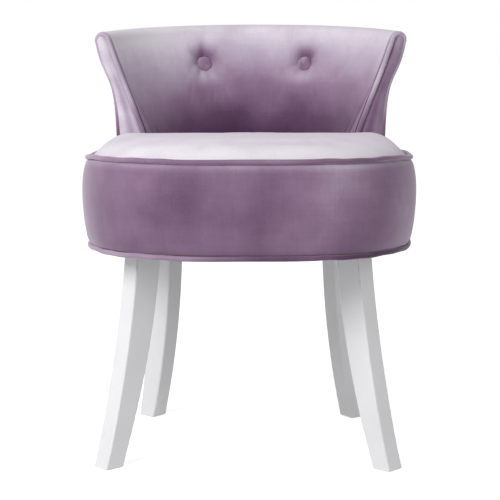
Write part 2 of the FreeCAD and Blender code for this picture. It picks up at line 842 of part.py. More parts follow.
def draw_back_outline(sketch, depth, closed=True):
    """The back's section, a depth inside its surface.

    A straight inner face leans out to the roll, which is two arcs about one centre, and the hollow
    outer face comes down to an upright foot.
    """
    foot_z = -cell("back_skirt")
    inner_x = cell("back_inner_radius") + depth
    outer_x = back_outer - depth
    centre = (roll_reach.value, roll_height.value)
    radius = (roll_radius - depth).value
    lean = inner_lean(depth.value)
    touch = (centre[0] - radius * math.cos(lean), centre[1] + radius * math.sin(lean))
    hollow = (sweep_radius() + depth).value
    hollow_centre = (outer_x.value + hollow, 0)
    back_off = math.atan2(centre[1], hollow_centre[0] - centre[0])
    inner = line(sketch, (inner_x.value, foot_z.value), touch)
    near = arc(sketch, centre, radius, math.pi / 2, math.pi - lean)
    far = arc(sketch, centre, radius, -back_off, math.pi / 2)
    outer = arc(sketch, hollow_centre, hollow, math.pi - back_off, math.pi)
    upright = line(sketch, (outer_x.value, 0), (outer_x.value, foot_z.value))
    sketch.addConstraint(Sketcher.Constraint("Tangent", inner, 2, near, 2))
    sketch.addConstraint(Sketcher.Constraint("Coincident", near, 1, far, 2))
    sketch.addConstraint(Sketcher.Constraint("Coincident", near, 3, far, 3))
    sketch.addConstraint(Sketcher.Constraint("Vertical", near, 3, near, 1))
    sketch.addConstraint(Sketcher.Constraint("Tangent", far, 1, outer, 1))
    sketch.addConstraint(Sketcher.Constraint("Coincident", outer, 2, upright, 1))
    sketch.addConstraint(Sketcher.Constraint("PointOnObject", outer, 3, -1))
    sketch.addConstraint(Sketcher.Constraint("Vertical", upright))
    hold(sketch, "Radius", roll_radius - depth, near)
    hold_point(sketch, near, 3, roll_reach, roll_height)
    hold_point(sketch, upright, 1, outer_x, Size(0))
    hold_point(sketch, upright, 2, None, foot_z)
    hold_point(sketch, inner, 1, inner_x, foot_z)
    if closed:
        bottom = line(sketch, (outer_x.value, foot_z.value), (inner_x.value, foot_z.value))
        sketch.addConstraint(Sketcher.Constraint("Coincident", upright, 2, bottom, 1))
        sketch.addConstraint(Sketcher.Constraint("Coincident", bottom, 2, inner, 1))
    return sketch


def draw_rear_layer(sketch, outside, inside, foot, top_drop):
    """A layer that follows the outer face between two depths, from a foot to below the roll."""
    hollow = sweep_radius()
    top = roll_height - top_drop
    centre_x = back_outer + hollow
    curves = []
    for depth in (outside, inside):
        radius = hollow + depth
        climb = math.asin(top.value / radius.value)
        curves.append((depth, radius, climb))
    corners = []
    arcs = []
    for depth, radius, climb in curves:
        x_foot = (back_outer - depth).value
        x_top = centre_x.value - radius.value * math.cos(climb)
        corners.append((x_foot, x_top))
        arcs.append(arc(sketch, (centre_x.value, 0), radius.value, math.pi - climb, math.pi))
    uprights = [line(sketch, (x_foot, 0), (x_foot, foot.value)) for x_foot, _ in corners]
    cap = line(sketch, (corners[0][1], top.value), (corners[1][1], top.value))
    sole = line(sketch, (corners[0][0], foot.value), (corners[1][0], foot.value))
    for number, (depth, radius, _) in enumerate(curves):
        end = number + 1
        sketch.addConstraint(Sketcher.Constraint("Coincident", arcs[number], 2, uprights[number], 1))
        sketch.addConstraint(Sketcher.Constraint("Coincident", arcs[number], 1, cap, end))
        sketch.addConstraint(Sketcher.Constraint("Coincident", uprights[number], 2, sole, end))
        sketch.addConstraint(Sketcher.Constraint("Vertical", uprights[number]))
        sketch.addConstraint(Sketcher.Constraint("PointOnObject", arcs[number], 3, -1))
        hold(sketch, "Radius", radius, arcs[number])
        hold_point(sketch, uprights[number], 1, back_outer - depth, Size(0))
        hold_point(sketch, cap, end, None, top)
        hold_point(sketch, sole, end, None, foot)
    return sketch


def turn_on_back(body, name, sketch, span):
    """Turn a section about the back's axis, half of the angle to each side of the rear."""
    spin = body.newObject("PartDesign::Revolution", name)
    spin.Profile = sketch
    spin.ReferenceAxis = (origin_plane(body, "Z_Axis"), [""])
    spin.Midplane = True
    bind(spin, "Angle", span)
    return body


def turned_back(label, draw, *sizes):
    """A body that carries one section round the whole back."""
    body = back_body(label)
    sketch = new_sketch(body, f"{label}_section", "YZ_Plane")
    draw(sketch, *sizes)
    return turn_on_back(body, f"{label}_turn", sketch, half_span * 2)


def tuft_frame(side):
    """Where a button's line meets the inner face, and the direction out of that face."""
    height = cell("button_height_on_back").value
    lean = inner_lean()
    reach = cell("back_inner_radius").value + (height + cell("back_skirt").value) * math.tan(lean)
    turn = Rotation(Vector(0, 0, 1), -side * cell("button_turn").value)
    tilt = Rotation(Vector(1, 0, 0), back_tilt.value)
    axis_foot = Vector(0, (centre_y + back_y).value, welt_z.value)
    point = axis_foot + tilt.multVec(turn.multVec(Vector(0, reach, height)))
    outward = tilt.multVec(turn.multVec(Vector(0, -math.cos(lean), math.sin(lean))))
    return point, outward, reach, lean


def along_tuft(side, depth):
    """A placement whose +Z points out of the back's inner face, a depth below that face."""
    point, outward, _, _ = tuft_frame(side)
    return Placement(point - outward * depth, Rotation(Vector(0, 0, 1), outward))


def tie_length(side):
    """From the inner face to the outer face of the shell, along the button's line."""
    _, _, reach, lean = tuft_frame(side)
    height = cell("button_height_on_back").value
    radius = (sweep_radius() + shell_outer).value
    centre_x = (back_outer + sweep_radius()).value
    direction = (math.cos(lean), -math.sin(lean))
    to_start = (reach - centre_x, height)
    along = to_start[0] * direction[0] + to_start[1] * direction[1]
    return -along - math.sqrt(along**2 - (to_start[0] ** 2 + to_start[1] ** 2 - radius**2))


def tuft_bowl(label, side, extra):
    """A ball that presses a shallow round hollow into the back."""
    ball = doc.addObject("Part::Sphere", label)
    bind(ball, "Radius", cell("tuft_bowl_radius") + extra)
    ball.Placement = along_tuft(side, (cell("tuft_depth") - cell("tuft_bowl_radius")).value)
    return ball


def rod_on_tuft(label, side, radius, start, end):
    """A round rod on the button's line between two depths."""
    rod = doc.addObject("Part::Cylinder", label)
    bind(rod, "Radius", radius)
    rod.Height = end - start
    rod.Placement = along_tuft(side, end)
    return rod


def make_back(clearance, below_deck):
    """Covers, padding, shell and rail of the back, trimmed to stand on the seat."""
    bowls = {}
    for name, extra in (("cover", Size(0)), ("lining", cover), ("foam", under_cover)):
        balls = [tuft_bowl(f"{name}_bowl_{side}", side, extra) for side in (-1, 1)]
        bowls[name] = fuse(f"{name}_bowls", balls)
    surface = turned_back("back_surface", draw_back_outline, Size(0))
    lining = turned_back("back_lining", draw_back_outline, cover)
    core = turned_back("back_core", draw_back_outline, under_cover)
    skirt = -cell("back_skirt")
    sunk = rail_low - cell("back_skirt")
    drop = cell("roll_drop")
    shell_drop = cell("shell_top_drop")
    outside_form = (Size(0), cover, skirt, drop)
    outside = turned_back("outside_cover_form", draw_rear_layer, *outside_form)
    outside_room = (-roll_radius, cover + gap, skirt - SPARE, drop - gap)
    outside_zone = turned_back("outside_cover_zone", draw_rear_layer, *outside_room)
    padding_form = (under_cover, shell_outer - gap, skirt, shell_drop)
    padding = turned_back("rear_padding_form", draw_rear_layer, *padding_form)
    shell_form = turned_back("shell_form", draw_rear_layer, shell_outer, shell_inner, sunk, shell_drop)
    shell_room = (-roll_radius, shell_inner + gap, sunk - SPARE, shell_drop - gap)
    shell_zone = turned_back("shell_zone", draw_rear_layer, *shell_room)
    span = half_span * 2
    rail_form = turned_block("rail_form", rail_inner, rail_outer - gap, sunk, rail_high, span)
    rail_zone = turned_block("rail_zone", rail_inner - gap, rail_outer, sunk, rail_high + gap, span)

    ties = []
    tie_holes = []
    washers = []
    washer_holes = []
    clear = cell("hole_clearance") + cell("tie_radius")
    for side in (-1, 1):
        name = "left" if side < 0 else "right"
        start = button_back.value + cell("button_seat").value
        end = tie_length(side)
        seat = end + cell("tie_washer_seat").value
        back = seat + cell("tie_washer_thickness").value
        ties.append(rod_on_tuft(f"tie_{name}", side, cell("tie_radius"), start, back))
        tie_holes.append(rod_on_tuft(f"tie_hole_{name}", side, clear, start - SPARE, back + SPARE))
        disc = rod_on_tuft(f"tie_washer_disc_{name}", side, cell("tie_washer_radius"), seat, back)
        eye = rod_on_tuft(f"tie_eye_{name}", side, clear, seat - SPARE, back + SPARE)
        washers.append(cut(f"tie_washer_{name}", disc, eye))
        room = cell("tie_washer_radius") + gap
        washer_holes.append(rod_on_tuft(f"washer_hole_{name}", side, room, end - SPARE, back + SPARE))
    tie_bores = fuse("tie_bores", tie_holes)
    washer_bores = fuse("washer_bores", washer_holes)

    pieces = [group("button_ties", ties), group("button_tie_washers", washers)]
    dimpled = cut("back_dimpled", surface, bowls["cover"])
    hollow = cut("back_hollow", lining, bowls["lining"])
    inside = cut("inside_cover_whole", cut("back_skin", dimpled, hollow), outside_zone)
    inside = cut("inside_cover_pierced", inside, tie_bores)
    pieces.append(cut("back_inside_cover", inside, clearance))
    pieces.append(cut("back_outside_cover", outside, clearance))
    padding = cut("rear_padding_pierced", padding, washer_bores)
    pieces.append(cut("back_rear_padding", padding, clearance))
    shell = cut("shell_pierced", shell_form, tie_bores)
    pieces.append(cut("back_shell", shell, below_deck))
    foam = cut("foam_dimpled", core, bowls["foam"])
    foam = cut("foam_behind", foam, fuse("back_frame_zone", [shell_zone, rail_zone]))
    foam = cut("foam_pierced", foam, tie_bores)
    pieces.append(cut("back_foam_pad", foam, clearance))
    return pieces, cut("rail_on_deck", rail_form, below_deck)


def turned_block(label, inner, outer, low, high, span):
    """A rectangle turned about the back's axis through an angle, centred on the rear."""
    body = back_body(label)
    sketch = new_sketch(body, f"{label}_section", "YZ_Plane")
    corners = ((inner, low), (outer, low), (outer, high), (inner, high))
    points = [(x.value, z.value) for x, z in corners]
    sides = [line(sketch, points[number], points[(number + 1) % 4]) for number in range(4)]
    for number, this in enumerate(sides):
        sketch.addConstraint(Sketcher.Constraint("Coincident", this, 2, sides[(number + 1) % 4], 1))
        sketch.addConstraint(Sketcher.Constraint("Vertical" if number % 2 else "Horizontal", this))
    hold_point(sketch, sides[0], 1, inner, low)
    hold_point(sketch, sides[2], 1, outer, high)
    return turn_on_back(body, f"{label}_turn", sketch, span)


def make_end(side, clearance):
    """The narrow upholstered facing on one end of the back, with piping round its edge."""
    name = "left" if side < 0 else "right"
    turn = half_span * -side

    def end_sketch(body, label, away):
        sketch = new_sketch(body, label, "YZ_Plane", turn=turn)
        bind(sketch, ".AttachmentOffset.Base.x", away * side * sine(turn))
        bind(sketch, ".AttachmentOffset.Base.z", away * side * cosine(turn))
        return sketch

    board = back_body(f"{name}_facing_form")
    outline = draw_back_outline(end_sketch(board, f"{name}_facing_outline", gap), facing_inset)
    pad(board, f"{name}_facing_pad", outline, cell("facing_thickness"), reverse=side < 0)
    cord = back_body(f"{name}_piping_form")
    path = end_sketch(cord, f"{name}_piping_path", piping_radius + gap)
    draw_back_outline(path, piping_radius + cell("facing_piping_seat"), closed=False)
    doc.recompute()
    section = cord.newObject("Sketcher::SketchObject", f"{name}_piping_section")
    section.AttachmentSupport = [(path, "Edge1"), (path, "Vertex1")]
    section.MapMode = "NormalToEdge"
    draw_cord_section(section, Size(0), Size(0))
    pipe = cord.newObject("PartDesign::AdditivePipe", f"{name}_piping_pipe")
    pipe.Profile = section
    pipe.Spine = (path, [f"Edge{number}" for number in range(1, 6)])
    return [
        cut(f"{name}_end_facing", board, clearance),
        cut(f"{name}_facing_piping", cord, clearance),
    ]


def make_buttons():
    """Cloth-covered buttons, a low dome with a short rim, seated in the tufts."""
    buttons = []
    for side, name in ((-1, "left_button"), (1, "right_button")):
        body = doc.addObject("PartDesign::Body", name)
        body.Placement = along_tuft(side, button_back.value)
        sketch = new_sketch(body, f"{name}_section", "XZ_Plane")
        radius, height = cell("button_radius"), cell("button_height")
        places = [(Size(0), Size(0)), (radius, Size(0))]
        places += [(radius * across, height * up) for across, up in BUTTON_DOME]
        corners = [(across.value, up.value) for across, up in places]
        sides = [line(sketch, *ends) for ends in zip(corners, corners[1:] + corners[:1])]
        for number, side_line in enumerate(sides):
            following = sides[(number + 1) % len(sides)]
            sketch.addConstraint(Sketcher.Constraint("Coincident", side_line, 2, following, 1))
        for side_line, (across, up) in zip(sides, places):
            hold_point(sketch, side_line, 1, across, up)
        spin = body.newObject("PartDesign::Revolution", f"{name}_turn")
        spin.Profile = sketch
        spin.ReferenceAxis = (origin_plane(body, "Z_Axis"), [""])
        spin.Angle = 360
        buttons.append(body)
    return buttons


def back_bolt_point(place):
    """The middle of the tilted rail's width, halfway up the threaded inserts."""
    turn = half_span * place
    reach = (rail_inner + rail_outer) / 2
    level = rail_low + cell("insert_length") / 2
    along = (reach * cosine(turn) - level * sine(back_tilt)) / cosine(back_tilt)
    return -reach * sine(turn), back_y + along


def make_back_fasteners():
    """Bolts up through the deck board into threaded inserts in the back's rail."""
    bolts, washers, inserts, deck_holes, rail_holes = [], [], [], [], []
    clearance = cell("hole_clearance")
    shank, washer_depth = cell("back_bolt_radius"), cell("back_washer_thickness")
    head_top = deck_bottom_z - washer_depth
    for number, place in enumerate(BACK_BOLT_PLACES):
        x, y = back_bolt_point(place)
        head = doc.addObject("Part::Prism", f"back_bolt_head_{number}")
        head.Polygon = 6
        bind(head, "Circumradius", cell("back_bolt_head_radius"))
        bind(head, "Height", cell("back_bolt_head"))
        bind(head, ".Placement.Base.x", x)
        bind(head, ".Placement.Base.y", centre_y + y)
        bind(head, ".Placement.Base.z", head_top - cell("back_bolt_head"))
        length = washer_depth + cell("deck_thickness") + cell("back_bolt_grip")
        stem = cylinder(f"back_bolt_stem_{number}", shank, head_top, length, x, y)
        bolts.append(fuse(f"back_bolt_{number}", [head, stem]))
        disc = cylinder(f"washer_disc_{number}", cell("back_washer_radius"), head_top, washer_depth, x, y)
        eye = cylinder(f"washer_eye_{number}", shank + clearance, head_top - 1, washer_depth + 2, x, y)
        washers.append(cut(f"back_washer_{number}", disc, eye))
        sleeve = cylinder(
            f"insert_sleeve_{number}", cell("insert_radius"), deck_top_z, cell("insert_length"), x, y
        )
        thread = cylinder(
            f"insert_thread_{number}", shank + clearance, deck_top_z - 1, cell("insert_length") + 2, x, y
        )
        inserts.append(cut(f"insert_{number}", sleeve, thread))
        bore = cell("deck_thickness") + 2
        deck_holes.append(cylinder(f"deck_hole_{number}", shank + clearance, deck_bottom_z - 1, bore, x, y))
        bore_length = cell("back_bolt_grip") + 2
        socket = cell("insert_radius") + clearance
        depth = cell("insert_length") + 1
        rail_holes.append(cylinder(f"rail_socket_{number}", socket, deck_top_z - 1, depth, x, y))
        tip = cylinder(f"rail_hole_{number}", shank + clearance, deck_top_z - 1, bore_length, x, y)
        rail_holes.append(tip)
    groups = [
        group("back_bolts", bolts),
        group("back_bolt_washers", washers),
        group("back_rail_inserts", inserts),
    ]
    return groups, fuse("deck_holes", deck_holes), fuse("rail_holes", rail_holes)


def build():
    nodes = []
    band, top_form = make_seat_covers()
    nodes.append(band)
    nodes.append(make_piping("seat_top_piping", welt_z, top_piping_inset))
    nodes.append(make_piping("seat_bottom_piping", base_z, bottom_piping_inset))
    nodes.append(make_seat_padding())
    frame_slot = turned_block(
        "frame_slot",
        rail_inner - gap,
        back_outer - shell_outer + gap,
        rail_low - cell("back_skirt"),
        cell("crown_height") + SPARE,
        half_span * 2 + cell("slot_play"),
    )
    nodes.append(cut("seat_foam_pad", make_seat_foam(), frame_slot))
    nodes.append(cut("seat_top_cover", top_form, frame_slot))
    nodes.append(make_hoop())
    clearance = make_crown_clearance()
    below_deck = cylinder("below_deck", half_width * 2, base_z, deck_top_z - base_z)
    back_pieces, rail = make_back(clearance, below_deck)
    nodes += back_pieces
    for side in (-1, 1):
        nodes += make_end(side, clearance)
    nodes += make_buttons()
    fasteners, deck_holes, rail_holes = make_back_fasteners()
    nodes += fasteners
    nodes.append(cut("back_bottom_rail", rail, rail_holes))
    screws = make_frame_screws()
    staples = make_staples()
    nodes += [screws, staples]
    nodes.append(cut("seat_spacer_blocks", group("posts_whole", make_posts()), screws))
    board = make_plate("base_board_form", base_z, cell("base_board_thickness"), board_inset)
    bores = fuse("board_bores", at_each_leg(board_bore))
    board = cut("base_board_bored", board, bores)
    board = cut("base_board_screwed", board, screws)
    nodes.append(cut("seat_base_board", board, staples))
    deck = make_plate("deck_form", deck_bottom_z, cell("deck_thickness"), board_inset)
    deck = cut("deck_screwed", deck, screws)
    nodes.append(cut("seat_deck_board", deck, deck_holes))
    cloth = make_plate("dust_cover_form", leg_top_z, cell("dust_cover_thickness"), hoop_inset)
    cloth = cut("dust_cover_bored", cloth, bores)
    nodes.append(cut("dust_cover", cloth, staples))
    nodes += [make_leg(*place) for place in LEG_PLACES]
    nodes.append(group("leg_hanger_bolts", at_each_leg(hanger_bolt)))
    nodes.append(group("leg_tee_nuts", at_each_leg(tee_nut)))
    nodes.append(group("leg_dowels", at_each_leg(dowel)))
    return nodes


def check(nodes):
    for item in doc.Objects:
        if any(state in ("Invalid", "Error") for state in item.State):
            raise RuntimeError(f"{item.Label} failed: {item.State} {item.getStatusString()}")
    for node in nodes:
        if node.Shape.isNull() or not node.Shape.isValid():
            raise RuntimeError(f"{node.Label} has no valid shape")


def write(nodes):
    os.makedirs("parts", exist_ok=True)
    for node in nodes:
        node.Shape.exportStep(f"parts/{node.Label}.step")
        box = node.Shape.BoundBox
        print(
            f"{node.Label}: {len(node.Shape.Solids)} solid(s), {node.Shape.Volume / 1000:.1f} cm3, "
            f"z {box.ZMin:.1f} to {box.ZMax:.1f}"
        )


pieces = build()
doc.recompute()
check(pieces)
write(pieces)
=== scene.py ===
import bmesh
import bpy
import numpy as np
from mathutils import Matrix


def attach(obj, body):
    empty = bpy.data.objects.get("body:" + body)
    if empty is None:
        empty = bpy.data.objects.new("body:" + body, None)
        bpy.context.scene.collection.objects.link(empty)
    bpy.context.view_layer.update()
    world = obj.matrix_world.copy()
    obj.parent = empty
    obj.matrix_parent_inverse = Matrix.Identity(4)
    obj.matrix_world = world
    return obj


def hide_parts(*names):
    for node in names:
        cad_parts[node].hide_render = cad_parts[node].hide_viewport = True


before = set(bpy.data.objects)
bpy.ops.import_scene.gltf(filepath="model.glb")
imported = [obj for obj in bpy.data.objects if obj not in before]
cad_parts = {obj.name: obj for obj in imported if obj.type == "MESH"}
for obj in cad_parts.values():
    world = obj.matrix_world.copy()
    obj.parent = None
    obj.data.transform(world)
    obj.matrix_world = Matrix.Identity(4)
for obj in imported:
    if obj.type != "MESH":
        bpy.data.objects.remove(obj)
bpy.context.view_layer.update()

# %% [markdown]
# The object is a low vanity stool: a padded drum seat in mauve velvet, a low
# curved back that rolls over at its top, and four white wooden legs.
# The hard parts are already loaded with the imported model. This file makes the
# soft parts over them, and gives every part its finish. Two small tools come
# first: one adds an object, and one places a camera or a lamp.


def add_object(name, data):
    """A new object at the origin, linked to the scene."""
    thing = bpy.data.objects.new(name, data)
    bpy.context.scene.collection.objects.link(thing)
    return thing


def pose_of(axes, place):
    """The matrix that turns x, y and z to the three axes and moves the origin to the place."""
    pose = Matrix.Identity(4)
    for column, axis in enumerate(axes):
        for row in range(3):
            pose[row][column] = axis[row]
    pose.translation = place
    return pose


# %% [markdown]
# The camera comes first, so that each piece can be judged as soon as it exists.
# A studio shot of furniture is taken from a few metres away with a long lens,
# which keeps the legs from spreading. Here the camera stands 1.96 m in front,
# 0.55 m above the floor, and looks down by eight degrees.

# %% Camera
seat_centre_y = -0.0019
stand_off, eye_height = 1.9556, 0.5495
turn, pitch, roll = np.radians((1.56, 8.03, 0.12))
ahead = np.array((-np.sin(turn) * np.cos(pitch), np.cos(turn) * np.cos(pitch), -np.sin(pitch)))
level = np.array((np.cos(turn), np.sin(turn), 0.0))
above = np.cross(level, ahead)
rightward = level * np.cos(roll) - above * np.sin(roll)
upward = level * np.sin(roll) + above * np.cos(roll)
eye = (stand_off * np.sin(turn), seat_centre_y - stand_off * np.cos(turn), eye_height)
camera = add_object("camera", bpy.data.cameras.new("camera"))
camera.data.sensor_width = 36.0
camera.data.lens = 101.43
camera.matrix_world = pose_of((rightward, upward, -ahead), eye)
bpy.context.scene.camera = camera
print("lens", camera.data.lens, "mm")

# %% [markdown]
# Colours are written as the sRGB hex values that a colour chart gives. Blender
# mixes light in linear values, so one function turns the first into the second.
# A second function adds a shader node with its settings and links in one line.
# The others name what every finish needs: sums, noise, mixed shades and relief.

# %% Helpers for finishes
def linear(code):
    """Hex to linear: v / 12.92 up to 0.04045, else ((v + 0.055) / 1.055) to the power 2.4."""
    srgb = np.array([int(code[i : i + 2], 16) for i in (1, 3, 5)]) / 255
    values = np.where(srgb <= 0.04045, srgb / 12.92, ((srgb + 0.055) / 1.055) ** 2.4)
    return (*values, 1.0)


def add_node(owner, kind, settings=None, **inputs):
    """Add one node to a material or world; an input named i and a number is found by the number."""
    tree = owner.node_tree
    node = tree.nodes.new(kind)
    for key, value in (settings or {}).items():
        setattr(node, key, value)
    for key, value in inputs.items():
        name = key.replace("_", " ")
        socket = node.inputs[int(key[1:])] if key[1:].isdigit() else node.inputs[name]
        if isinstance(value, bpy.types.NodeSocket):
            tree.links.new(value, socket)
        else:
            socket.default_value = value
    return node


def new_finish(name):
    """An empty node material with a Principled shader wired to its output."""
    material = bpy.data.materials.new(name)
    material.use_nodes = True
    return material, material.node_tree.nodes["Principled BSDF"]


def wire(owner, out, socket):
    """Link an output to an input."""
    owner.node_tree.links.new(out, socket)


def calculate(owner, operation, *values):
    """The result of one Math node on numbers or sockets."""
    inputs = {f"i{place}": value for place, value in enumerate(values)}
    return add_node(owner, "ShaderNodeMath", {"operation": operation}, **inputs).outputs[0]


def object_place(material):
    """Where a point lies on the object, in metres."""
    return add_node(material, "ShaderNodeTexCoord").outputs["Object"]


def noise(material, place, scale, detail):
    """Noise; scale is how many features fit in a metre, one number or one each for x, y and z."""
    if isinstance(scale, tuple):
        place = add_node(material, "ShaderNodeMapping", Vector=place, Scale=scale).outputs[0]
        scale = 1.0
    node = add_node(material, "ShaderNodeTexNoise", Vector=place, Scale=scale, Detail=detail)
    return node.outputs["Fac"]


def mix_shades(material, share, first, second):
    """The first colour at share 0, the second at share 1."""
    settings = {"data_type": "RGBA"}
    node = add_node(material, "ShaderNodeMix", settings, i0=share, i6=first, i7=second)
    return node.outputs[2]


def add_relief(material, shader, height, strength, distance):
    """Bump from a pattern on the shader's normal; distance is its full depth in metres."""
    bump = add_node(material, "ShaderNodeBump", Strength=strength, Distance=distance, Height=height)
    wire(material, bump.outputs[0], shader.inputs["Normal"])


# %% [markdown]
# Velvet is a cut pile of short upright fibres on a woven ground. Looked at
# straight on, the eye sees between the fibres into deep colour. Looked at along
# the surface it sees their lit sides, so every edge that turns away glows pale.
# Stroking lays the pile over in patches, and each patch is lighter or darker.
# An attribute of each piece, from 0 for dark to 1 for pale, holds the lay of the
# pile and also painted light and shade: a painted highlight on the seat's top,
# painted shade low on the back, round the buttons and in the seams, and parts
# painted paler or darker from side to side as the lamps light them. The glow
# comes from sheen and from a painted sheen that pales the colour by the facing angle.

# %% Velvet
def velvet_finish(name, shades):
    """Pile colour from the lay of the pile and from painted light and shade, plus patches about 30
    mm wide and streaks about 3 mm wide, turned pale by a painted sheen where the surface faces
    away.
    """
    material, shader = new_finish(name)
    place = object_place(material)
    patches = noise(material, place, 30.0, 3.0)
    weft = noise(material, place, (14.0, 14.0, 330.0), 2.0)
    warp = noise(material, place, (300.0, 120.0, 16.0), 2.0)
    pile = noise(material, place, 700.0, 2.0)
    # This attribute holds the lay of the pile together with painted light and shade.
    lay_and_shade = add_node(material, "ShaderNodeAttribute", {"attribute_name": "nap_and_shade"}).outputs["Fac"]
    for texture, strength in ((patches, 0.17), (weft, 0.04), (warp, 0.04), (pile, 0.09)):
        shift = calculate(material, "MULTIPLY_ADD", texture, strength, -strength / 2)
        lay_and_shade = calculate(material, "ADD", lay_and_shade, shift)
    ramp = add_node(material, "ShaderNodeValToRGB", Fac=lay_and_shade)
    stops = ramp.color_ramp.elements
    while len(stops) < len(shades):
        stops.new(0.5)
    for stop, (position, code) in zip(stops, shades):
        stop.position = position
        stop.color = linear(code)
    # Painted sheen: the colour itself turns pale where the surface faces away from the view.
    facing = add_node(material, "ShaderNodeLayerWeight", Blend=0.5).outputs["Facing"]
    glow = calculate(material, "MULTIPLY", calculate(material, "POWER", facing, 3.0), 0.65)
    pale = mix_shades(material, glow, ramp.outputs["Color"], linear("#dfd9e2"))
    wire(material, pale, shader.inputs["Base Color"])
    add_relief(material, shader, pile, 0.25, 0.0006)
    shader.inputs["Roughness"].default_value = 0.9
    shader.inputs["Specular IOR Level"].default_value = 0.15
    shader.inputs["Sheen Weight"].default_value = 0.25
    shader.inputs["Sheen Roughness"].default_value = 0.45
    shader.inputs["Sheen Tint"].default_value = linear("#dcc8e0")
    return material


velvet_shades = (
    (0.0, "#38233a"), (0.25, "#5c425d"), (0.5, "#8a708a"), (0.75, "#b6a8ba"), (1.0, "#e2dde4"),
)
velvet = velvet_finish("mauve_velvet", velvet_shades)
print("velvet shades:", len(velvet_shades))

# %% [markdown]
# The legs are sawn from solid hardwood and sprayed with satin white paint.
# Sprayed paint lies in a thin even film: it hides the grain but keeps a trace of
# it as a very shallow ripple. Its gloss is soft.

# %% Satin white paint
def paint_finish():
    """White film over faint ripples 4 mm apart across the leg, with a slow change of tone."""
    material, shader = new_finish("satin_white_paint")
    place = object_place(material)
    grain = noise(material, place, (240.0, 240.0, 14.0), 3.0)
    tone = noise(material, place, 18.0, 2.0)
    shade = mix_shades(material, tone, linear("#dcdbdd"), linear("#e6e5e7"))
    wire(material, shade, shader.inputs["Base Color"])
    add_relief(material, shader, grain, 0.12, 0.0004)
    shader.inputs["Roughness"].default_value = 0.38
    return material


def finish_solids(names, finish):
    """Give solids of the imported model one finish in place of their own."""
    for name in names:
        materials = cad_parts[name].data.materials
        materials.clear()
        materials.append(finish)


legs = ("front_left_leg", "front_right_leg", "rear_left_leg", "rear_right_leg")
finish_solids(legs, paint_finish())
print("legs painted:", len(legs))

# %% [markdown]
# The frame inside is bare wood, steel and plastic, and it shows only where the
# cloth stops. Sawn wood is drawn with noise stretched along the grain. Plywood
# shows its plies as level stripes 1.5 mm thick. Zinc plating on fasteners has a
# fine crystalline mottle, and waxed twine is spun from fibres 0.3 mm thick.

# %% Finishes of the hidden frame
def plain_finish(name, light, dark, scale, roughness, metallic=0.0, relief=0.0003):
    """Two shades mixed by noise, whose relief is as deep as stated in metres."""
    material, shader = new_finish(name)
    grain = noise(material, object_place(material), scale, 4.0)
    shade = mix_shades(material, grain, linear(dark), linear(light))
    wire(material, shade, shader.inputs["Base Color"])
    add_relief(material, shader, grain, 0.3, relief)
    shader.inputs["Roughness"].default_value = roughness
    shader.inputs["Metallic"].default_value = metallic
    return material


hidden_finishes = {
    "birch_plywood": (("#dcc094", "#b8905c", (25, 25, 660), 0.65),
                      ("seat_base_board", "seat_deck_board", "seat_hoop", "back_shell")),
    "planed_pine": (("#e2c48f", "#c39a5f", (12, 160, 160), 0.6),
                    ("seat_spacer_blocks", "back_bottom_rail")),
    "fluted_beech": (("#d6ab7c", "#b98a5b", (300, 300, 30), 0.6), ("leg_dowels",)),
    "zinc_plated_steel": (("#c9cbcd", "#a9acb0", (400, 400, 400), 0.35, 1.0, 0.0001),
                          ("back_bolts", "back_bolt_washers", "back_rail_inserts", "frame_screws",
                           "leg_hanger_bolts", "leg_tee_nuts")),
    "galvanised_wire": (("#bfc1c2", "#97999b", (900, 900, 900), 0.4, 1.0, 0.0001),
                        ("dust_cover_staples",)),
    "waxed_twine": (("#e0d8c3", "#b9ae92", (3000, 600, 3000), 0.75), ("button_ties",)),
    "moulded_polypropylene": (("#2b2b2b", "#1f1f1f", (500, 500, 500), 0.5),
                              ("button_tie_washers",)),
}
for finish_name, (values, solids) in hidden_finishes.items():
    finish_solids(solids, plain_finish(finish_name, *values))
print("hidden finishes:", len(hidden_finishes))

# %% [markdown]
# Every soft piece here is a shell between two grids of points: the face that
# shows and the face behind it. Closing the rims between them gives a pad with a
# real thickness, whose faces all point outward. The grids are worked out as
# whole arrays, so that a new shape is only a new formula.

# %% A closed pad between two grids
nap_behind = 0.6


def grid_faces(index):
    """The four-sided faces of a grid of point numbers."""
    corners = [index[:-1, :-1], index[:-1, 1:], index[1:, 1:], index[1:, :-1]]
    return np.stack(corners, -1).reshape(-1, 4)


def make_piece(name, points, faces, nap_and_shade, levels=1):
    """Mesh object from points and faces, doubles merged and faces turned outward, in velvet."""
    mesh = bpy.data.meshes.new(name)
    mesh.from_pydata(points.tolist(), [], faces.tolist())
    layer = mesh.attributes.new("nap_and_shade", "FLOAT", "POINT")
    layer.data.foreach_set("value", np.ascontiguousarray(nap_and_shade, dtype=np.float32))
    work = bmesh.new()
    work.from_mesh(mesh)
    bmesh.ops.remove_doubles(work, verts=work.verts, dist=1e-6)
    bmesh.ops.recalc_face_normals(work, faces=work.faces)
    work.to_mesh(mesh)
    work.free()
    mesh.polygons.foreach_set("use_smooth", np.ones(len(mesh.polygons), dtype=bool))
    mesh.materials.append(velvet)
    piece = add_object(name, mesh)
    if levels:
        finer = piece.modifiers.new("finer", "SUBSURF")
        finer.levels = finer.render_levels = levels
    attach(piece, "root")
    print(name, len(mesh.polygons), "faces")
    return piece


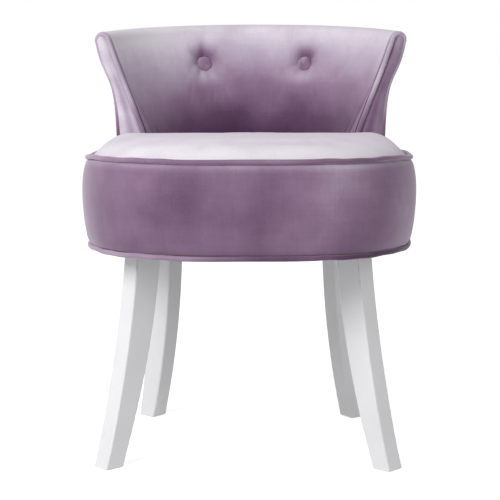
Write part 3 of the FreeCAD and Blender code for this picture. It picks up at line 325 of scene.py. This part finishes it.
def make_pad(name, shown, behind, nap_and_shade, wrap=False, levels=1):
    """Pad between two grids, with a darker nap behind; wrap joins the last column to the first."""
    rows, columns = shown.shape[:2]
    index = np.arange(2 * rows * columns).reshape(2, rows, columns)
    if wrap:
        index = np.concatenate([index, index[:, :, :1]], axis=2)
    front, rear = index
    strips = [(front[0], rear[0]), (rear[-1], front[-1])]
    if not wrap:
        strips += [(rear[:, 0], front[:, 0]), (front[:, -1], rear[:, -1])]
    faces = [grid_faces(front), grid_faces(rear)[:, ::-1]]
    faces += [grid_faces(np.stack(pair)) for pair in strips]
    points = np.concatenate([shown.reshape(-1, 3), behind.reshape(-1, 3)])
    nap_and_shade = np.concatenate([nap_and_shade.ravel(), nap_and_shade.ravel() * nap_behind])
    return make_piece(name, points, np.concatenate(faces), nap_and_shade, levels)


def make_cord(name, path, radius, normal, nap_and_shade, closed=False, sides=14):
    """Tube of a given radius along a path that lies in a plane with the given normal."""
    ahead = np.roll(path, -1, 0) - np.roll(path, 1, 0)
    if not closed:
        ahead[0], ahead[-1] = path[1] - path[0], path[-1] - path[-2]
    ahead /= np.linalg.norm(ahead, axis=1, keepdims=True)
    sideways = np.cross(ahead, normal)
    sideways /= np.linalg.norm(sideways, axis=1, keepdims=True)
    lift = np.cross(sideways, ahead)
    angle = np.linspace(0, 2 * np.pi, sides, endpoint=False)[:, None, None]
    rings = path + radius * (np.cos(angle) * sideways + np.sin(angle) * lift)
    rings = rings.transpose(1, 0, 2)
    shade = np.repeat(nap_and_shade[:, None], sides, 1)
    if not closed:
        ends = np.repeat(path[[0, -1], None], sides, 1)
        rings = np.concatenate([ends[:1], rings, ends[1:]])
        shade = np.concatenate([shade[:1], shade, shade[-1:]])
    index = np.arange(rings.shape[0] * sides).reshape(-1, sides)
    index = np.concatenate([index, index[:, :1]], 1)
    if closed:
        index = np.concatenate([index, index[:1]], 0)
    return make_piece(name, rings.reshape(-1, 3), grid_faces(index), shade.ravel(), levels=0)


def smooth(value):
    """Zero below 0, one above 1, and 3v2 - 2v3 between."""
    value = np.clip(value, 0, 1)
    return value * value * (3 - 2 * value)


def unevenness(points, wavelength, seed):
    """A slow random field, mostly from -1 to 1: a third of the sum of six randomly turned waves."""
    source = np.random.default_rng(seed)
    waves, total = 6, 0
    for _ in range(waves):
        direction = source.normal(size=3)
        direction *= 2 * np.pi / wavelength / np.linalg.norm(direction)
        total = total + np.sin(points @ direction + source.uniform(0, 2 * np.pi))
    return total / (waves / 2)


# %% [markdown]
# Upholstery is cloth pulled tight over foam, and it bulges between the places
# where it is sewn or nailed. Blender's Cloth shows this well: the edges are
# pinned, a little pressure fills the cover from inside, and gravity is off.
# The moves are capped, so that the pad keeps the size its frame gives it.

# %% Cloth filled from inside
cloth_steps, cloth_pressure = 20, 4.0


def fill_cloth(shown, pinned, most, wrap=False):
    """The grid after Cloth with pressure; each move d is cut to most * tanh(|d| / most)."""
    rows, columns = shown.shape[:2]
    index = np.arange(rows * columns).reshape(rows, columns)
    if wrap:
        index = np.concatenate([index, index[:, :1]], 1)
    mesh = bpy.data.meshes.new("cover_at_work")
    mesh.from_pydata(shown.reshape(-1, 3).tolist(), [], grid_faces(index).tolist())
    cover = add_object("cover_at_work", mesh)
    seams = cover.vertex_groups.new(name="seams")
    seams.add(np.flatnonzero(pinned.ravel()).tolist(), 1.0, "REPLACE")
    cloth = cover.modifiers.new("cloth", "CLOTH")
    cloth.settings.vertex_group_mass = "seams"
    cloth.settings.use_pressure = True
    cloth.settings.uniform_pressure_force = cloth_pressure
    cloth.settings.effector_weights.gravity = 0.0
    cloth.settings.quality = 4
    cloth.collision_settings.use_collision = False
    scene = bpy.context.scene
    for step in range(1, cloth_steps + 1):
        scene.frame_set(step)
    solved = cover.evaluated_get(bpy.context.evaluated_depsgraph_get())
    after = np.empty(rows * columns * 3, np.float32)
    solved.data.vertices.foreach_get("co", after)
    scene.frame_set(1)
    bpy.data.objects.remove(cover)
    move = after.reshape(shown.shape) - shown
    length = np.linalg.norm(move, axis=2, keepdims=True)
    factor = most * np.tanh(length / most) / np.maximum(length, 1e-9)
    print("cloth moved by up to", round(float((length * factor).max()) * 1000, 1), "mm")
    return shown + move * factor


# %% [markdown]
# Seen from above, the seat is a rounded oblong: a slow curve at the front, one
# at each side, and a tighter one at each corner. The four arcs share tangents,
# so the outline is a function of the direction that its edge faces. An inset
# takes the same amount off every radius, which keeps the cloth layers parallel.
# The upper seam isn't level: it hangs some millimetres lower at the sides.

# %% The seat's outline
half_width, half_depth = 0.229, 0.213
front_arc, side_arc, corner_arc = 0.540, 0.517, 0.164
front_shift, side_shift = front_arc - half_depth, side_arc - half_width
span = np.hypot(side_shift, front_shift)
far, near = front_arc - corner_arc, side_arc - corner_arc
share = (far**2 - near**2 + span**2) / (2 * span)
rise = np.sqrt(far**2 - share**2)
unit = np.array((-side_shift, front_shift)) / span
corner = np.array((0, -front_shift)) + share * unit + rise * np.array((unit[1], -unit[0]))
turn_side = np.arctan2(corner[1], corner[0] + side_shift)
turn_front = np.arctan2(corner[1] + front_shift, corner[0])


def outline(angle, inset=0.0):
    """Edge point for the way it faces: arc centre + (radius - inset) * (cos, sin), mirrored."""
    fold = np.arctan2(np.abs(np.sin(angle)), np.abs(np.cos(angle)))
    on_side, on_corner = fold < turn_side, fold < turn_front
    centre_x = np.where(on_side, -side_shift, np.where(on_corner, corner[0], 0.0))
    centre_y = np.where(on_side, 0.0, np.where(on_corner, corner[1], -front_shift))
    radius = np.where(on_side, side_arc, np.where(on_corner, corner_arc, front_arc)) - inset
    x =(centre_x + radius * np.cos(fold)) * np.sign(np.cos(angle))
    y = (centre_y + radius * np.sin(fold)) * np.sign(np.sin(angle))
    return x, y


def even_angles(count):
    """Directions at which points lie evenly along the outline."""
    fine = np.linspace(0, 2 * np.pi, 4001)
    x, y = outline(fine)
    walked = np.concatenate([[0], np.cumsum(np.hypot(np.diff(x), np.diff(y)))])
    return np.interp(np.arange(count) / count * walked[-1], walked, fine)


def side_sag(y):
    """How far the upper seam hangs below its front: up to 7 mm at the sides, 4 mm at the rear."""
    return 0.007 * smooth((y + 0.15) / 0.16) - 0.003 * smooth((y - 0.10) / 0.06)


around = even_angles(232)
print("a corner runs from and to", np.round(np.degrees((turn_side, turn_front)), 1), "degrees")

# %% [markdown]
# The back is made by turning one upright section about a leaning axis. The
# section has a straight inner face that leans out by 18 degrees, a round roll
# at the top, and a hollow outer face. One function gives the section at any
# depth below the cloth, and another carries its points round the seat.

# %% The back's section and how it is carried round
back_y, back_z, lean_forward = seat_centre_y + 0.007, 0.413, np.radians(4.45)
foot_radius, foot_height = 0.140, -0.025
roll_reach, roll_height, roll_radius = 0.2095, 0.1491, 0.0125
roll_end, roll_middle = -15.0, 72.0
outer_foot_radius, outer_flare, outer_top = 0.1935, 0.028, 0.1458
end_turn, cloth_share = np.radians(80.0), 0.995
reach, climb = roll_reach - foot_radius, roll_height - foot_height
slope = np.arctan2(reach, climb) - np.arcsin(roll_radius / np.hypot(reach, climb))


def carry(radius, height, angle):
    """Place section points: round the axis by the angle, then the whole back leaned forward."""
    x, y = radius * np.sin(angle), radius * np.cos(angle)
    lean_cos, lean_sin = np.cos(lean_forward), np.sin(lean_forward)
    carried_y = back_y + y * lean_cos - height * lean_sin
    carried_z = back_z + y * lean_sin + height * lean_cos
    return np.stack([x, carried_y, carried_z], -1)


def inner_section(depth, low, count, last=roll_end):
    """Straight inner line from a low height, then the roll's arc; radius, height, length walked."""
    run = np.sqrt(reach**2 + climb**2 - roll_radius**2)
    start = (low - foot_height) / np.cos(slope)
    first = 180 - np.degrees(slope)
    bend = (roll_radius - depth) * np.radians(first - last)
    walked = np.linspace(0, run - start + bend, count)
    straight = np.minimum(walked, run - start) + start
    angle = np.radians(first) - np.maximum(walked - (run - start), 0) / (roll_radius - depth)
    on_arc = walked > run - start
    radius = foot_radius + straight * np.sin(slope) + depth * np.cos(slope)
    height = foot_height + straight * np.cos(slope) - depth * np.sin(slope)
    radius = np.where(on_arc, roll_reach + (roll_radius - depth) * np.cos(angle), radius)
    height = np.where(on_arc, roll_height + (roll_radius - depth) * np.sin(angle), height)
    return radius, height, walked


def outer_radius(height):
    """Outer line: a third of its flare grows as t squared, the rest as a soft step 105 mm up."""
    share = np.clip((height + 0.010) / 0.159, 0, 1)
    step = 0.67 / (1 + np.exp(-(height - 0.105) / 0.013))
    return outer_foot_radius + outer_flare * (0.36 * share**2 + step)


def outer_section(depth, low, count):
    """Points of the outer line at a depth below the cloth, from a low height to under the roll."""
    height = np.linspace(low, outer_top, count)
    return outer_radius(height) - depth, height


def swell(height):
    """How far the padding stands off the inner line: 5 mm at the foot, fading to 0 at the roll."""
    return 0.005 * (1 - smooth((height - 0.02) / 0.12))


print("inner face leans out by", round(float(np.degrees(slope)), 1), "degrees")

# %% [markdown]
# The seat's top panel is foam under cloth: it rises steeply at the welt, is
# nearly level in the middle, and is pulled down where the cloth is drawn in at
# the foot of the back. A crown of this kind is 1 - exp(-travel / run).

# %% Seat top
seam_inset, seam_height = 0.0114, 0.4094
crown_height, crown_run = 0.028, 0.017
foam_inset, foam_bottom = 0.0145, 0.3757
back_foot_ring, back_rear_ring, under_back_z = 0.1535, 0.200, 0.4015


def seat_top_grid(rows=40):
    """Rings of the outline shrunk to the middle: a crown of 28 mm * (1 - exp(-travel / 17 mm)),
    less the drops at rear and seam and the cloth drawn in; also the share under the back."""
    length = half_depth - seam_inset
    travel = length * (np.linspace(0, 1, rows) ** 1.6 * 0.985)[:, None]
    shrink = 1 - travel / length
    edge_x, edge_y = outline(around, seam_inset)
    x, y = edge_x * shrink, edge_y * shrink
    crown = crown_height * (1 - np.exp(-travel / crown_run)) + 0 * x
    rear_drop = 0.0065 * smooth((y + 0.03) / 0.14)
    seam_drop = side_sag(edge_y) * np.exp(-travel / 0.030)
    side_swell = 0.0045 * np.exp(
        -(((np.abs(x) - 0.180) / 0.025) ** 2) - ((y - 0.012) / 0.035) ** 2
    )
    away = np.hypot(x, y + seat_centre_y - back_y)
    side = np.abs(np.arctan2(x, y + seat_centre_y - back_y))
    within = smooth((np.radians(82.5) - side) / np.radians(4))
    past_foot = away - back_foot_ring
    under = within * smooth(past_foot / 0.006 + 0.5) * smooth((back_rear_ring - away) / 0.006)
    drawn_in = within * 0.008 * np.exp(-np.maximum(-past_foot, 0) / 0.011) * (1 - under)
    z = seam_height + crown - rear_drop - seam_drop + side_swell - drawn_in
    z = z * (1 - under) + under_back_z * under
    return np.stack([x, y + seat_centre_y, z], -1), under


seat_top, hidden = seat_top_grid()
pinned = np.zeros(seat_top.shape[:2], bool)
pinned[0] = pinned[-1] = True
pinned |= hidden > 0.2
seat_top = fill_cloth(seat_top, pinned, 0.0010, wrap=True)
seat_top[..., 2] += 0.0006 * unevenness(seat_top * (0.35, 1.2, 1), 0.05, 3) * (1 - hidden)
middle = np.broadcast_to(seat_top[-1].mean(0), (1,) + seat_top[-1].shape)
seat_top = np.concatenate([seat_top, middle])
beneath = seat_top.copy()
squeeze = (half_width - foam_inset) / (half_width - seam_inset)
beneath[..., 0] *= squeeze
beneath[..., 1] = (beneath[..., 1] - seat_centre_y) * squeeze + seat_centre_y
beneath[..., 2] = foam_bottom
# Almost the palest shade all over: a painted highlight for the sheen on the lit top, with slight
# random patches of nap.
nap_and_shade = 0.98 + 0.03 * unevenness(seat_top * (0.3, 1.6, 1), 0.06, 5)
cushion = make_pad("seat_top_cushion", seat_top, beneath, nap_and_shade, wrap=True)
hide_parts("seat_top_cover", "seat_foam_pad")

# %% [markdown]
# The boxing band is the upright strip of cloth round the drum. It is sewn to
# the welts above and below, tucked in about 3 mm at each seam, and bulges in
# between where the padding fills it. Its loose nap shows more patches than the
# seat does.

# %% Boxing band
band_low, band_wide, band_high = 0.2941, 0.3625, seam_height
inset_below, inset_above, seam_tuck, padding_inset = 0.0070, 0.0055, 0.0028, 0.0132


def band_grid(rows=26):
    """Inset 7 mm * t^2 below the widest level and 5.5 mm * t^2 above, plus a tuck at each seam."""
    height = band_low + (band_high - band_low) * (0.5 - 0.5 * np.cos(np.linspace(0, np.pi, rows)))
    below = height < band_wide
    step = np.where(below, (band_wide - height) / (band_wide - band_low),
                    (height - band_wide) / (band_high - band_wide))
    inset = np.where(below, inset_below, inset_above) * step**2 + seam_tuck * step**22
    x, y = outline(around[None], inset[:, None])
    z = height[:, None] - side_sag(y) * smooth((height[:, None] - 0.375) / 0.034)
    return np.stack([x, y + seat_centre_y, z], -1)


band = band_grid()
pinned = np.zeros(band.shape[:2], bool)
pinned[0] = pinned[-1] = True
band = fill_cloth(band, pinned, 0.0012, wrap=True)
inside = band.copy()
inside[..., 0], inside[..., 1] = outline(around, padding_inset)
inside[..., 1] += seat_centre_y
# Paler at the top edge under the welt and towards the right: painted sheen, over random patches of
# nap.
rim = smooth((band[..., 2] - 0.398) / 0.010)
rightward_fade = smooth(band[..., 0] / 0.35 + 0.35)
nap_and_shade = 0.38 + 0.05 * unevenness(band, 0.11, 11) + 0.14 * rim + 0.13 * rightward_fade
boxing = make_pad("seat_boxing_band", band, inside, nap_and_shade, wrap=True)
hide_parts("seat_band_cover", "seat_band_padding")

# %% [markdown]
# A welt is a cord covered in the same cloth and sewn into the seam, to give a
# crisp edge. It is never quite straight, so its path wavers by a few tenths of
# a millimetre. Its shade changes along the way: a little with random patches of
# nap, and, on the lower welt most, as painted light that is paler on the left
# and darker towards the right.

# %% Welts round the seat
welt_radius = 0.0033
angles = even_angles(420)
waver = 0.0004 * np.sin(9 * angles + 1) + 0.0003 * np.sin(23 * angles)
# Each welt is painted paler on the left and darker towards the right: painted light from the left,
# over random patches of nap.
for name, node, height, inset, sag_share, paleness, fading in (
    ("seat_top_welt", "seat_top_piping", 0.4130, 0.0078, 1, 0.47, 0.03),
    ("seat_bottom_welt", "seat_bottom_piping", 0.2905, 0.0093, 0, 0.60, 0.42),
):
    x, y = outline(angles, inset)
    path = np.stack([x, y + seat_centre_y, height + waver - sag_share * side_sag(y)], -1)
    nap_and_shade = paleness - fading * smooth(path[:, 0] / 0.4 + 0.5) + 0.08 * unevenness(path, 0.12, 21)
    welt = make_cord(name, path, welt_radius, np.array((0.0, 0.0, 1.0)), nap_and_shade, closed=True)
    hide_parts(node)

# %% [markdown]
# The inside of the back is one large pad that rolls over the top edge. Two
# covered buttons pull it in. Each tuft is a hollow whose depth falls off as a
# bell curve, with small pleats that run out from the button like spokes, and
# the cloth above a button is pulled into a longer hollow than the cloth below.

# %% Inside of the back
button_turns, button_height = {-1: np.radians(23.2), 1: np.radians(24.9)}, 0.1055
pad_rows, pad_low, pad_edge, roll_arc = 60, -0.006, 0.003, 0.0385


def tuft_depth(along, up):
    """Depth of the cloth about a button: a bell curve, longer above it, plus spokes round it."""
    stretch = np.where(up > 0, 1.35, 1.0)
    away = np.hypot(along, up / stretch)
    angle = np.arctan2(up, along)
    bell = 0.0120 * np.exp(-((away / 0.0170) ** 2))
    spokes = 0.0011 * np.cos(7 * angle + 0.6) * np.exp(-(((away - 0.019) / 0.010) ** 2))
    return bell + spokes


def tuft_shade(along, up):
    """Painted shade about a button, darker in the hollow above it, and a painted highlight on the
    swell below it.
    """
    dark = 0.40 * np.exp(-((along / 0.017) ** 2) - ((up - 0.012) / 0.015) ** 2)
    return 0.14 * np.exp(-((along / 0.022) ** 2) - ((up + 0.021) / 0.011) ** 2) - dark


def back_pad_grid(columns=170):
    """Section carried from end to end, moved along its normal by a belly of 7 mm and the swell at
    the foot, less the tufts; also the turns, the share of the height, the tufts and their shade."""
    radius, height, walked = inner_section(0.0, pad_low, pad_rows)
    angle = np.linspace(-end_turn, end_turn, columns) * cloth_share
    rise = np.clip(height / roll_height, 0, 1)
    straight = walked < walked[-1] - roll_arc
    normal_r = np.where(straight, -np.cos(slope), 0)[:, None]
    normal_h = np.where(straight, np.sin(slope), 0)[:, None]
    belly = 0.007 * np.sin(np.pi * np.clip(rise * 1.02, 0, 1)) ** 1.2
    fade = smooth((end_turn - np.abs(angle)) / np.radians(22))
    push = belly[:, None] * fade
    depth = shade = 0
    for side in (-1, 1):
        along = (angle - side * button_turns[side])[None] * radius[:, None]
        up = ((height - button_height) / np.cos(slope))[:, None]
        depth = depth + tuft_depth(along * side, up)
        shade = shade + tuft_shade(along, up)
    push = push - depth + swell(height)[:, None]
    grid = carry(radius[:, None] + push * normal_r, height[:, None] + push * normal_h, angle[None])
    return grid, angle, rise, depth, shade


back_pad, sweep, rise, depth, shade = back_pad_grid()
pinned = np.zeros(back_pad.shape[:2], bool)
pinned[:, :1] = pinned[:, -1:] = pinned[:1] = pinned[-1:] = True
pinned |= depth > 0.0080
back_pad = fill_cloth(back_pad, pinned, 0.0008)
ripple = 0.0004 * unevenness(back_pad, 0.045, 31) * (rise < 0.97)[:, None]
back_pad = back_pad + ripple[..., None] * (0, -0.8, 0.6)
thin_r, thin_h, _ = inner_section(pad_edge, pad_low, pad_rows)
sunk = 0.009 * smooth((0.85 - rise) / 0.3)[:, None] + np.minimum(depth, 0.009)
backing = carry(
    thin_r[:, None] + sunk * np.cos(slope), thin_h[:, None] - sunk * np.sin(slope), sweep[None]
)
# Darker at the foot and paler up to the roll: painted shade low down and painted light on the
# upturned roll, over random patches of nap, plus painted shade and highlight round the buttons.
nap_and_shade = 0.09 + 0.81 * rise[:, None] + 0.03 * unevenness(back_pad, 0.07, 33) + shade
# Paler towards the left end: painted light from the left.
nap_and_shade = nap_and_shade + 0.15 * smooth((-sweep - 0.3) / 0.6)[None]
# Darker in the last strip at each end: a painted shadow in the seam by the welt.
nap_and_shade = nap_and_shade - 0.30 * smooth((np.abs(sweep) - end_turn * 0.981) / (end_turn * 0.014))[None]
inside_pad = make_pad("back_inside_pad", back_pad, backing, nap_and_shade)
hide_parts("back_inside_cover", "back_foam_pad")

# %% [markdown]
# The outside of the back is a plain panel over thin fibre, pulled from under
# the roll down to the seat's welt. It has no buttons, only a slight unevenness.
# Its outer grid is given as the one behind, so that its nap is the darker one.

# %% Outside of the back
panel_foot_z, panel_thickness = 0.4030, 0.0035
columns = np.linspace(-end_turn, end_turn, 130) * cloth_share
foot_lean = outer_foot_radius * np.cos(columns) * np.sin(lean_forward)
foot = (panel_foot_z - back_z - foot_lean) / np.cos(lean_forward)
height = foot + (outer_top - foot) * np.linspace(0, 1, 32)[:, None]
radius = outer_radius(height)
outer = carry(radius, height, columns[None])
outer = outer + (0.0004 * unevenness(outer, 0.06, 41))[..., None] * (0, 1, 0)
inner = carry(radius - panel_thickness, height, columns[None])
nap_and_shade = 0.60 + 0.05 * unevenness(outer, 0.08, 43)
outside_pad = make_pad("back_outside_pad", inner, outer, nap_and_shade)
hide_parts("back_outside_cover", "back_rear_padding")

# %% [markdown]
# Each end of the back is closed by a narrow facing: a strip of cloth over a
# thin board, edged with welt. Its outline is the back's own section, so the
# same functions give it, taken in by the width of the welt.

# %% End facings and their welts
def facing_sides(inner_depth, outer_depth, low, count):
    """The section's inner side and outer side, both ending in the middle of the roll's top."""
    inner_r, inner_h, _ = inner_section(inner_depth, low, 240, last=roll_middle)
    outer_r, outer_h = outer_section(outer_depth, low, 160)
    bend = np.radians(np.linspace(roll_end, roll_middle, 80))[1:]
    bend_radius = roll_radius - outer_depth
    outer_r = np.concatenate([outer_r, roll_reach + bend_radius * np.cos(bend)])
    outer_h = np.concatenate([outer_h, roll_height + bend_radius * np.sin(bend)])
    sides = []
    bulge = swell(inner_h)
    inner_r, inner_h = inner_r - bulge * np.cos(slope), inner_h + bulge * np.sin(slope)
    for r, h in ((inner_r, inner_h), (outer_r, outer_h)):
        length = np.concatenate([[0], np.cumsum(np.hypot(np.diff(r), np.diff(h)))])
        places = (1 - (1 - np.linspace(0, 1, count)) ** 1.3) * length[-1]
        sides.append(np.stack([np.interp(places, length, r), np.interp(places, length, h)], -1))
    top = (sides[0][-1] + sides[1][-1]) / 2
    return [line + (top - line[-1]) * np.linspace(0, 1, count)[:, None] ** 8 for line in sides]


def facing_grid(side, rows=34, columns=16):
    """Lines between the two sides at the back's end; also its normal and the two shares."""
    inner, outer = facing_sides(0.0066, 0.0012, 0.004, rows)
    across = np.linspace(0, 1, columns)[None]
    section = inner[:, None] * (1 - across[..., None]) + outer[:, None] * across[..., None]
    points = carry(section[..., 0], section[..., 1], side * end_turn)
    forward = np.array((side * np.cos(end_turn), -np.sin(end_turn) * np.cos(lean_forward),
                        -np.sin(end_turn) * np.sin(lean_forward)))
    return points, forward, across, np.linspace(0, 1, rows)[:, None]


def facing_dome(across, climb_share):
    """How far the cloth stands out: 1 mm, a rounded swell of 3 mm, a fall of 3.5 mm to the outer
    side, all fading at the very top, plus gathers that fade by half the height."""
    gathers = 0.0007 * np.sin(13 * across + 2 * climb_share) * smooth((0.5 - climb_share) / 0.5)
    dome = 0.0012 + 0.0034 * np.sin(np.pi * across) ** 0.7 - 0.0035 * across**3
    return dome * np.sqrt(np.clip(1.02 - climb_share**8, 0, 1)) + gathers


for side, name in ((-1, "left"), (1, "right")):
    points, forward, across, climb_share = facing_grid(side)
    dome = facing_dome(across, climb_share)
    shown = points + dome[..., None] * forward
    behind = points + np.minimum(0.0004, dome - 0.0006)[..., None] * forward
    streak = np.exp(-(((across - 0.35) / 0.16) ** 2)) * smooth((0.75 - climb_share) / 0.4)
    # The left facing is painted paler than the right one: painted light from the left.
    nap_and_shade = (0.86 if side < 0 else 0.55) - 0.16 * streak + 0.04 * unevenness(shown, 0.03, 51 + side)
    facing = make_pad(f"{name}_facing_pad", shown, behind, nap_and_shade)
    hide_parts(f"{name}_end_facing")
    inner, outer = facing_sides(0.0033, 0.0036, -0.002, 60)
    line = np.concatenate([inner, outer[::-1][1:]])
    outer_share = smooth((np.arange(len(line)) / len(line) - 0.42) / 0.16)[:, None]
    path = carry(line[:, 0], line[:, 1], side * end_turn)
    path = path + (0.0027 - 0.0048 * outer_share) * forward
    # Paler at the top and darker low down: painted light on the upturned top of the roll.
    nap_and_shade = 0.74 - 0.30 * smooth((0.50 - path[:, 2]) / 0.07)
    nap_and_shade = nap_and_shade + 0.08 * unevenness(path, 0.05, 61 + side)
    welt = make_cord(f"{name}_facing_welt", path, welt_radius, forward, nap_and_shade)
    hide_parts(f"{name}_facing_piping")

# %% [markdown]
# A covered button is a domed disc 22 mm across with its cloth gathered behind.
# Its section is a rounded dome turned about its axis, nearly flat where the
# cloth is gathered, and it faces the way the cloth faces at that place.

# %% Covered buttons
button_radius, dome_height, back_height, button_sunk = 0.0112, 0.0058, 0.0018, 0.0026
spokes, rings = 48, 19
bend = np.linspace(-np.pi / 2, np.pi / 2, rings)[:, None, None]
spin = np.linspace(0, 2 * np.pi, spokes, endpoint=False)[None, :, None]
wide = button_radius * np.abs(np.cos(bend)) ** 0.8
tall = np.where(bend > 0, dome_height, back_height) * np.sin(bend)
index = np.arange(rings * spokes).reshape(rings, spokes)
index = np.concatenate([index, index[:, :1]], 1)
button_reach = foot_radius + (button_height - foot_height) * np.tan(slope)
for side, name in ((-1, "left"), (1, "right")):
    button_turn = side * button_turns[side]
    centre = carry(button_reach, button_height, button_turn)
    ahead = carry(-np.cos(slope), np.sin(slope), button_turn) - carry(0.0, 0.0, 0.0)
    ahead = ahead / np.linalg.norm(ahead)
    sideways = np.cross((0.0, 0.0, 1.0), ahead)
    sideways /= np.linalg.norm(sideways)
    lift = np.cross(ahead, sideways)
    base = centre - button_sunk * ahead
    points = base + wide * (np.cos(spin) * sideways + np.sin(spin) * lift) + tall * ahead
    nap_and_shade = 0.52 + 0.06 * unevenness(points.reshape(-1, 3), 0.012, 71)
    button = make_piece(f"{name}_covered_button", points.reshape(-1, 3), grid_faces(index), nap_and_shade)
    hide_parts(f"{name}_button")

# %% [markdown]
# The underside is closed by a dust cover: thin black spun-bonded cloth, cut to
# the seat's outline and stapled tight to the base board. Its fibres are bonded
# at small dots about 1 mm apart, which gives it a faint regular dimple.

# %% Dust cover
def dust_cloth_finish():
    """Nearly black cloth with dimples 1.2 mm apart, from a pattern of cells."""
    material, shader = new_finish("spun_bonded_dust_cloth")
    place = object_place(material)
    cells = add_node(material, "ShaderNodeTexVoronoi", Vector=place, Scale=820.0)
    dots = cells.outputs["Distance"]
    shade = mix_shades(material, dots, linear("#191919"), linear("#2b2a2b"))
    wire(material, shade, shader.inputs["Base Color"])
    add_relief(material, shader, dots, 0.3, 0.0002)
    shader.inputs["Roughness"].default_value = 0.85
    return material


cover_inset, cover_z, cover_thickness = 0.0138, 0.29015, 0.0003
x, y = outline(around, cover_inset)
shrink = np.linspace(1, 0, 24)[:, None]
flat = np.stack([x * shrink, y * shrink + seat_centre_y, 0 * x * shrink], -1)
flat[..., 2] = cover_z + 0.00012 * unevenness(flat, 0.08, 81) * (1 - shrink)
over = flat + (0, 0, cover_thickness)
no_nap = np.zeros(flat.shape[:2])
dust = make_pad("underside_dust_cover", over, flat, no_nap, wrap=True, levels=0)
dust.data.materials.clear()
dust.data.materials.append(dust_cloth_finish())
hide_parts("dust_cover")

# %% [markdown]
# The stage is a plain white floor that runs out of sight. A white floor only
# looks white where enough light falls on it, so camera rays get a little extra
# from the floor itself, and the soft shadow under the stool stays. A large soft
# lamp stands high on the left, a weaker one lower on the right, and the world
# fills in from all round.

# %% Floor, world and lamps
def seen_by(owner, *kinds):
    """One where a ray is of one of these kinds, else zero."""
    rays = add_node(owner, "ShaderNodeLightPath")
    seen, *others = (rays.outputs[f"Is {kind} Ray"] for kind in kinds)
    for other in others:
        seen = calculate(owner, "MAXIMUM", seen, other)
    return seen


floor_half = 30
corners = [(x * floor_half, y * floor_half, 0) for x, y in ((-1, -1), (1, -1), (1, 1), (-1, 1))]
floor_mesh = bpy.data.meshes.new("floor")
floor_mesh.from_pydata(corners, [], [(0, 1, 2, 3)])
floor = add_object("floor", floor_mesh)
white, shader = new_finish("white_studio_floor")
extra = calculate(white, "MULTIPLY", seen_by(white, "Camera", "Glossy"), 0.66)
shader.inputs["Base Color"].default_value = linear("#efefef")
shader.inputs["Roughness"].default_value = 0.9
shader.inputs["Emission Color"].default_value = (1.0, 1.0, 1.0, 1.0)
wire(white, extra, shader.inputs["Emission Strength"])
floor_mesh.materials.append(white)

world = bpy.data.worlds.new("studio")
bpy.context.scene.world = world
world.use_nodes = True
seen = seen_by(world, "Camera", "Glossy", "Transmission")
strength = calculate(world, "MULTIPLY_ADD", seen, 0.61, 0.39)
sky = world.node_tree.nodes["Background"]
sky.inputs["Color"].default_value = (1.0, 1.0, 1.0, 1.0)
wire(world, strength, sky.inputs["Strength"])


def soft_lamp(name, place, aim, size, watts):
    """Square area lamp at a place, turned so that it shines at the aim."""
    data = bpy.data.lights.new(name, "AREA")
    data.shape, data.size, data.energy = "SQUARE", size, watts
    away = np.subtract(place, aim) / np.linalg.norm(np.subtract(place, aim))
    side = np.cross((0.0, 0.0, 1.0), away)
    side /= np.linalg.norm(side)
    lamp = add_object(name, data)
    lamp.matrix_world = pose_of((side, np.cross(away, side), away), place)


seat_middle = (0.0, 0.0, 0.35)
soft_lamp("key_lamp", (-1.45, -1.60, 1.80), seat_middle, 1.3, 50.0)
soft_lamp("fill_lamp", (1.9, -1.8, 1.2), seat_middle, 1.8, 9.0)
bpy.context.scene.view_settings.view_transform = "Standard"
print("lamps:", [lamp.name for lamp in bpy.data.lights])
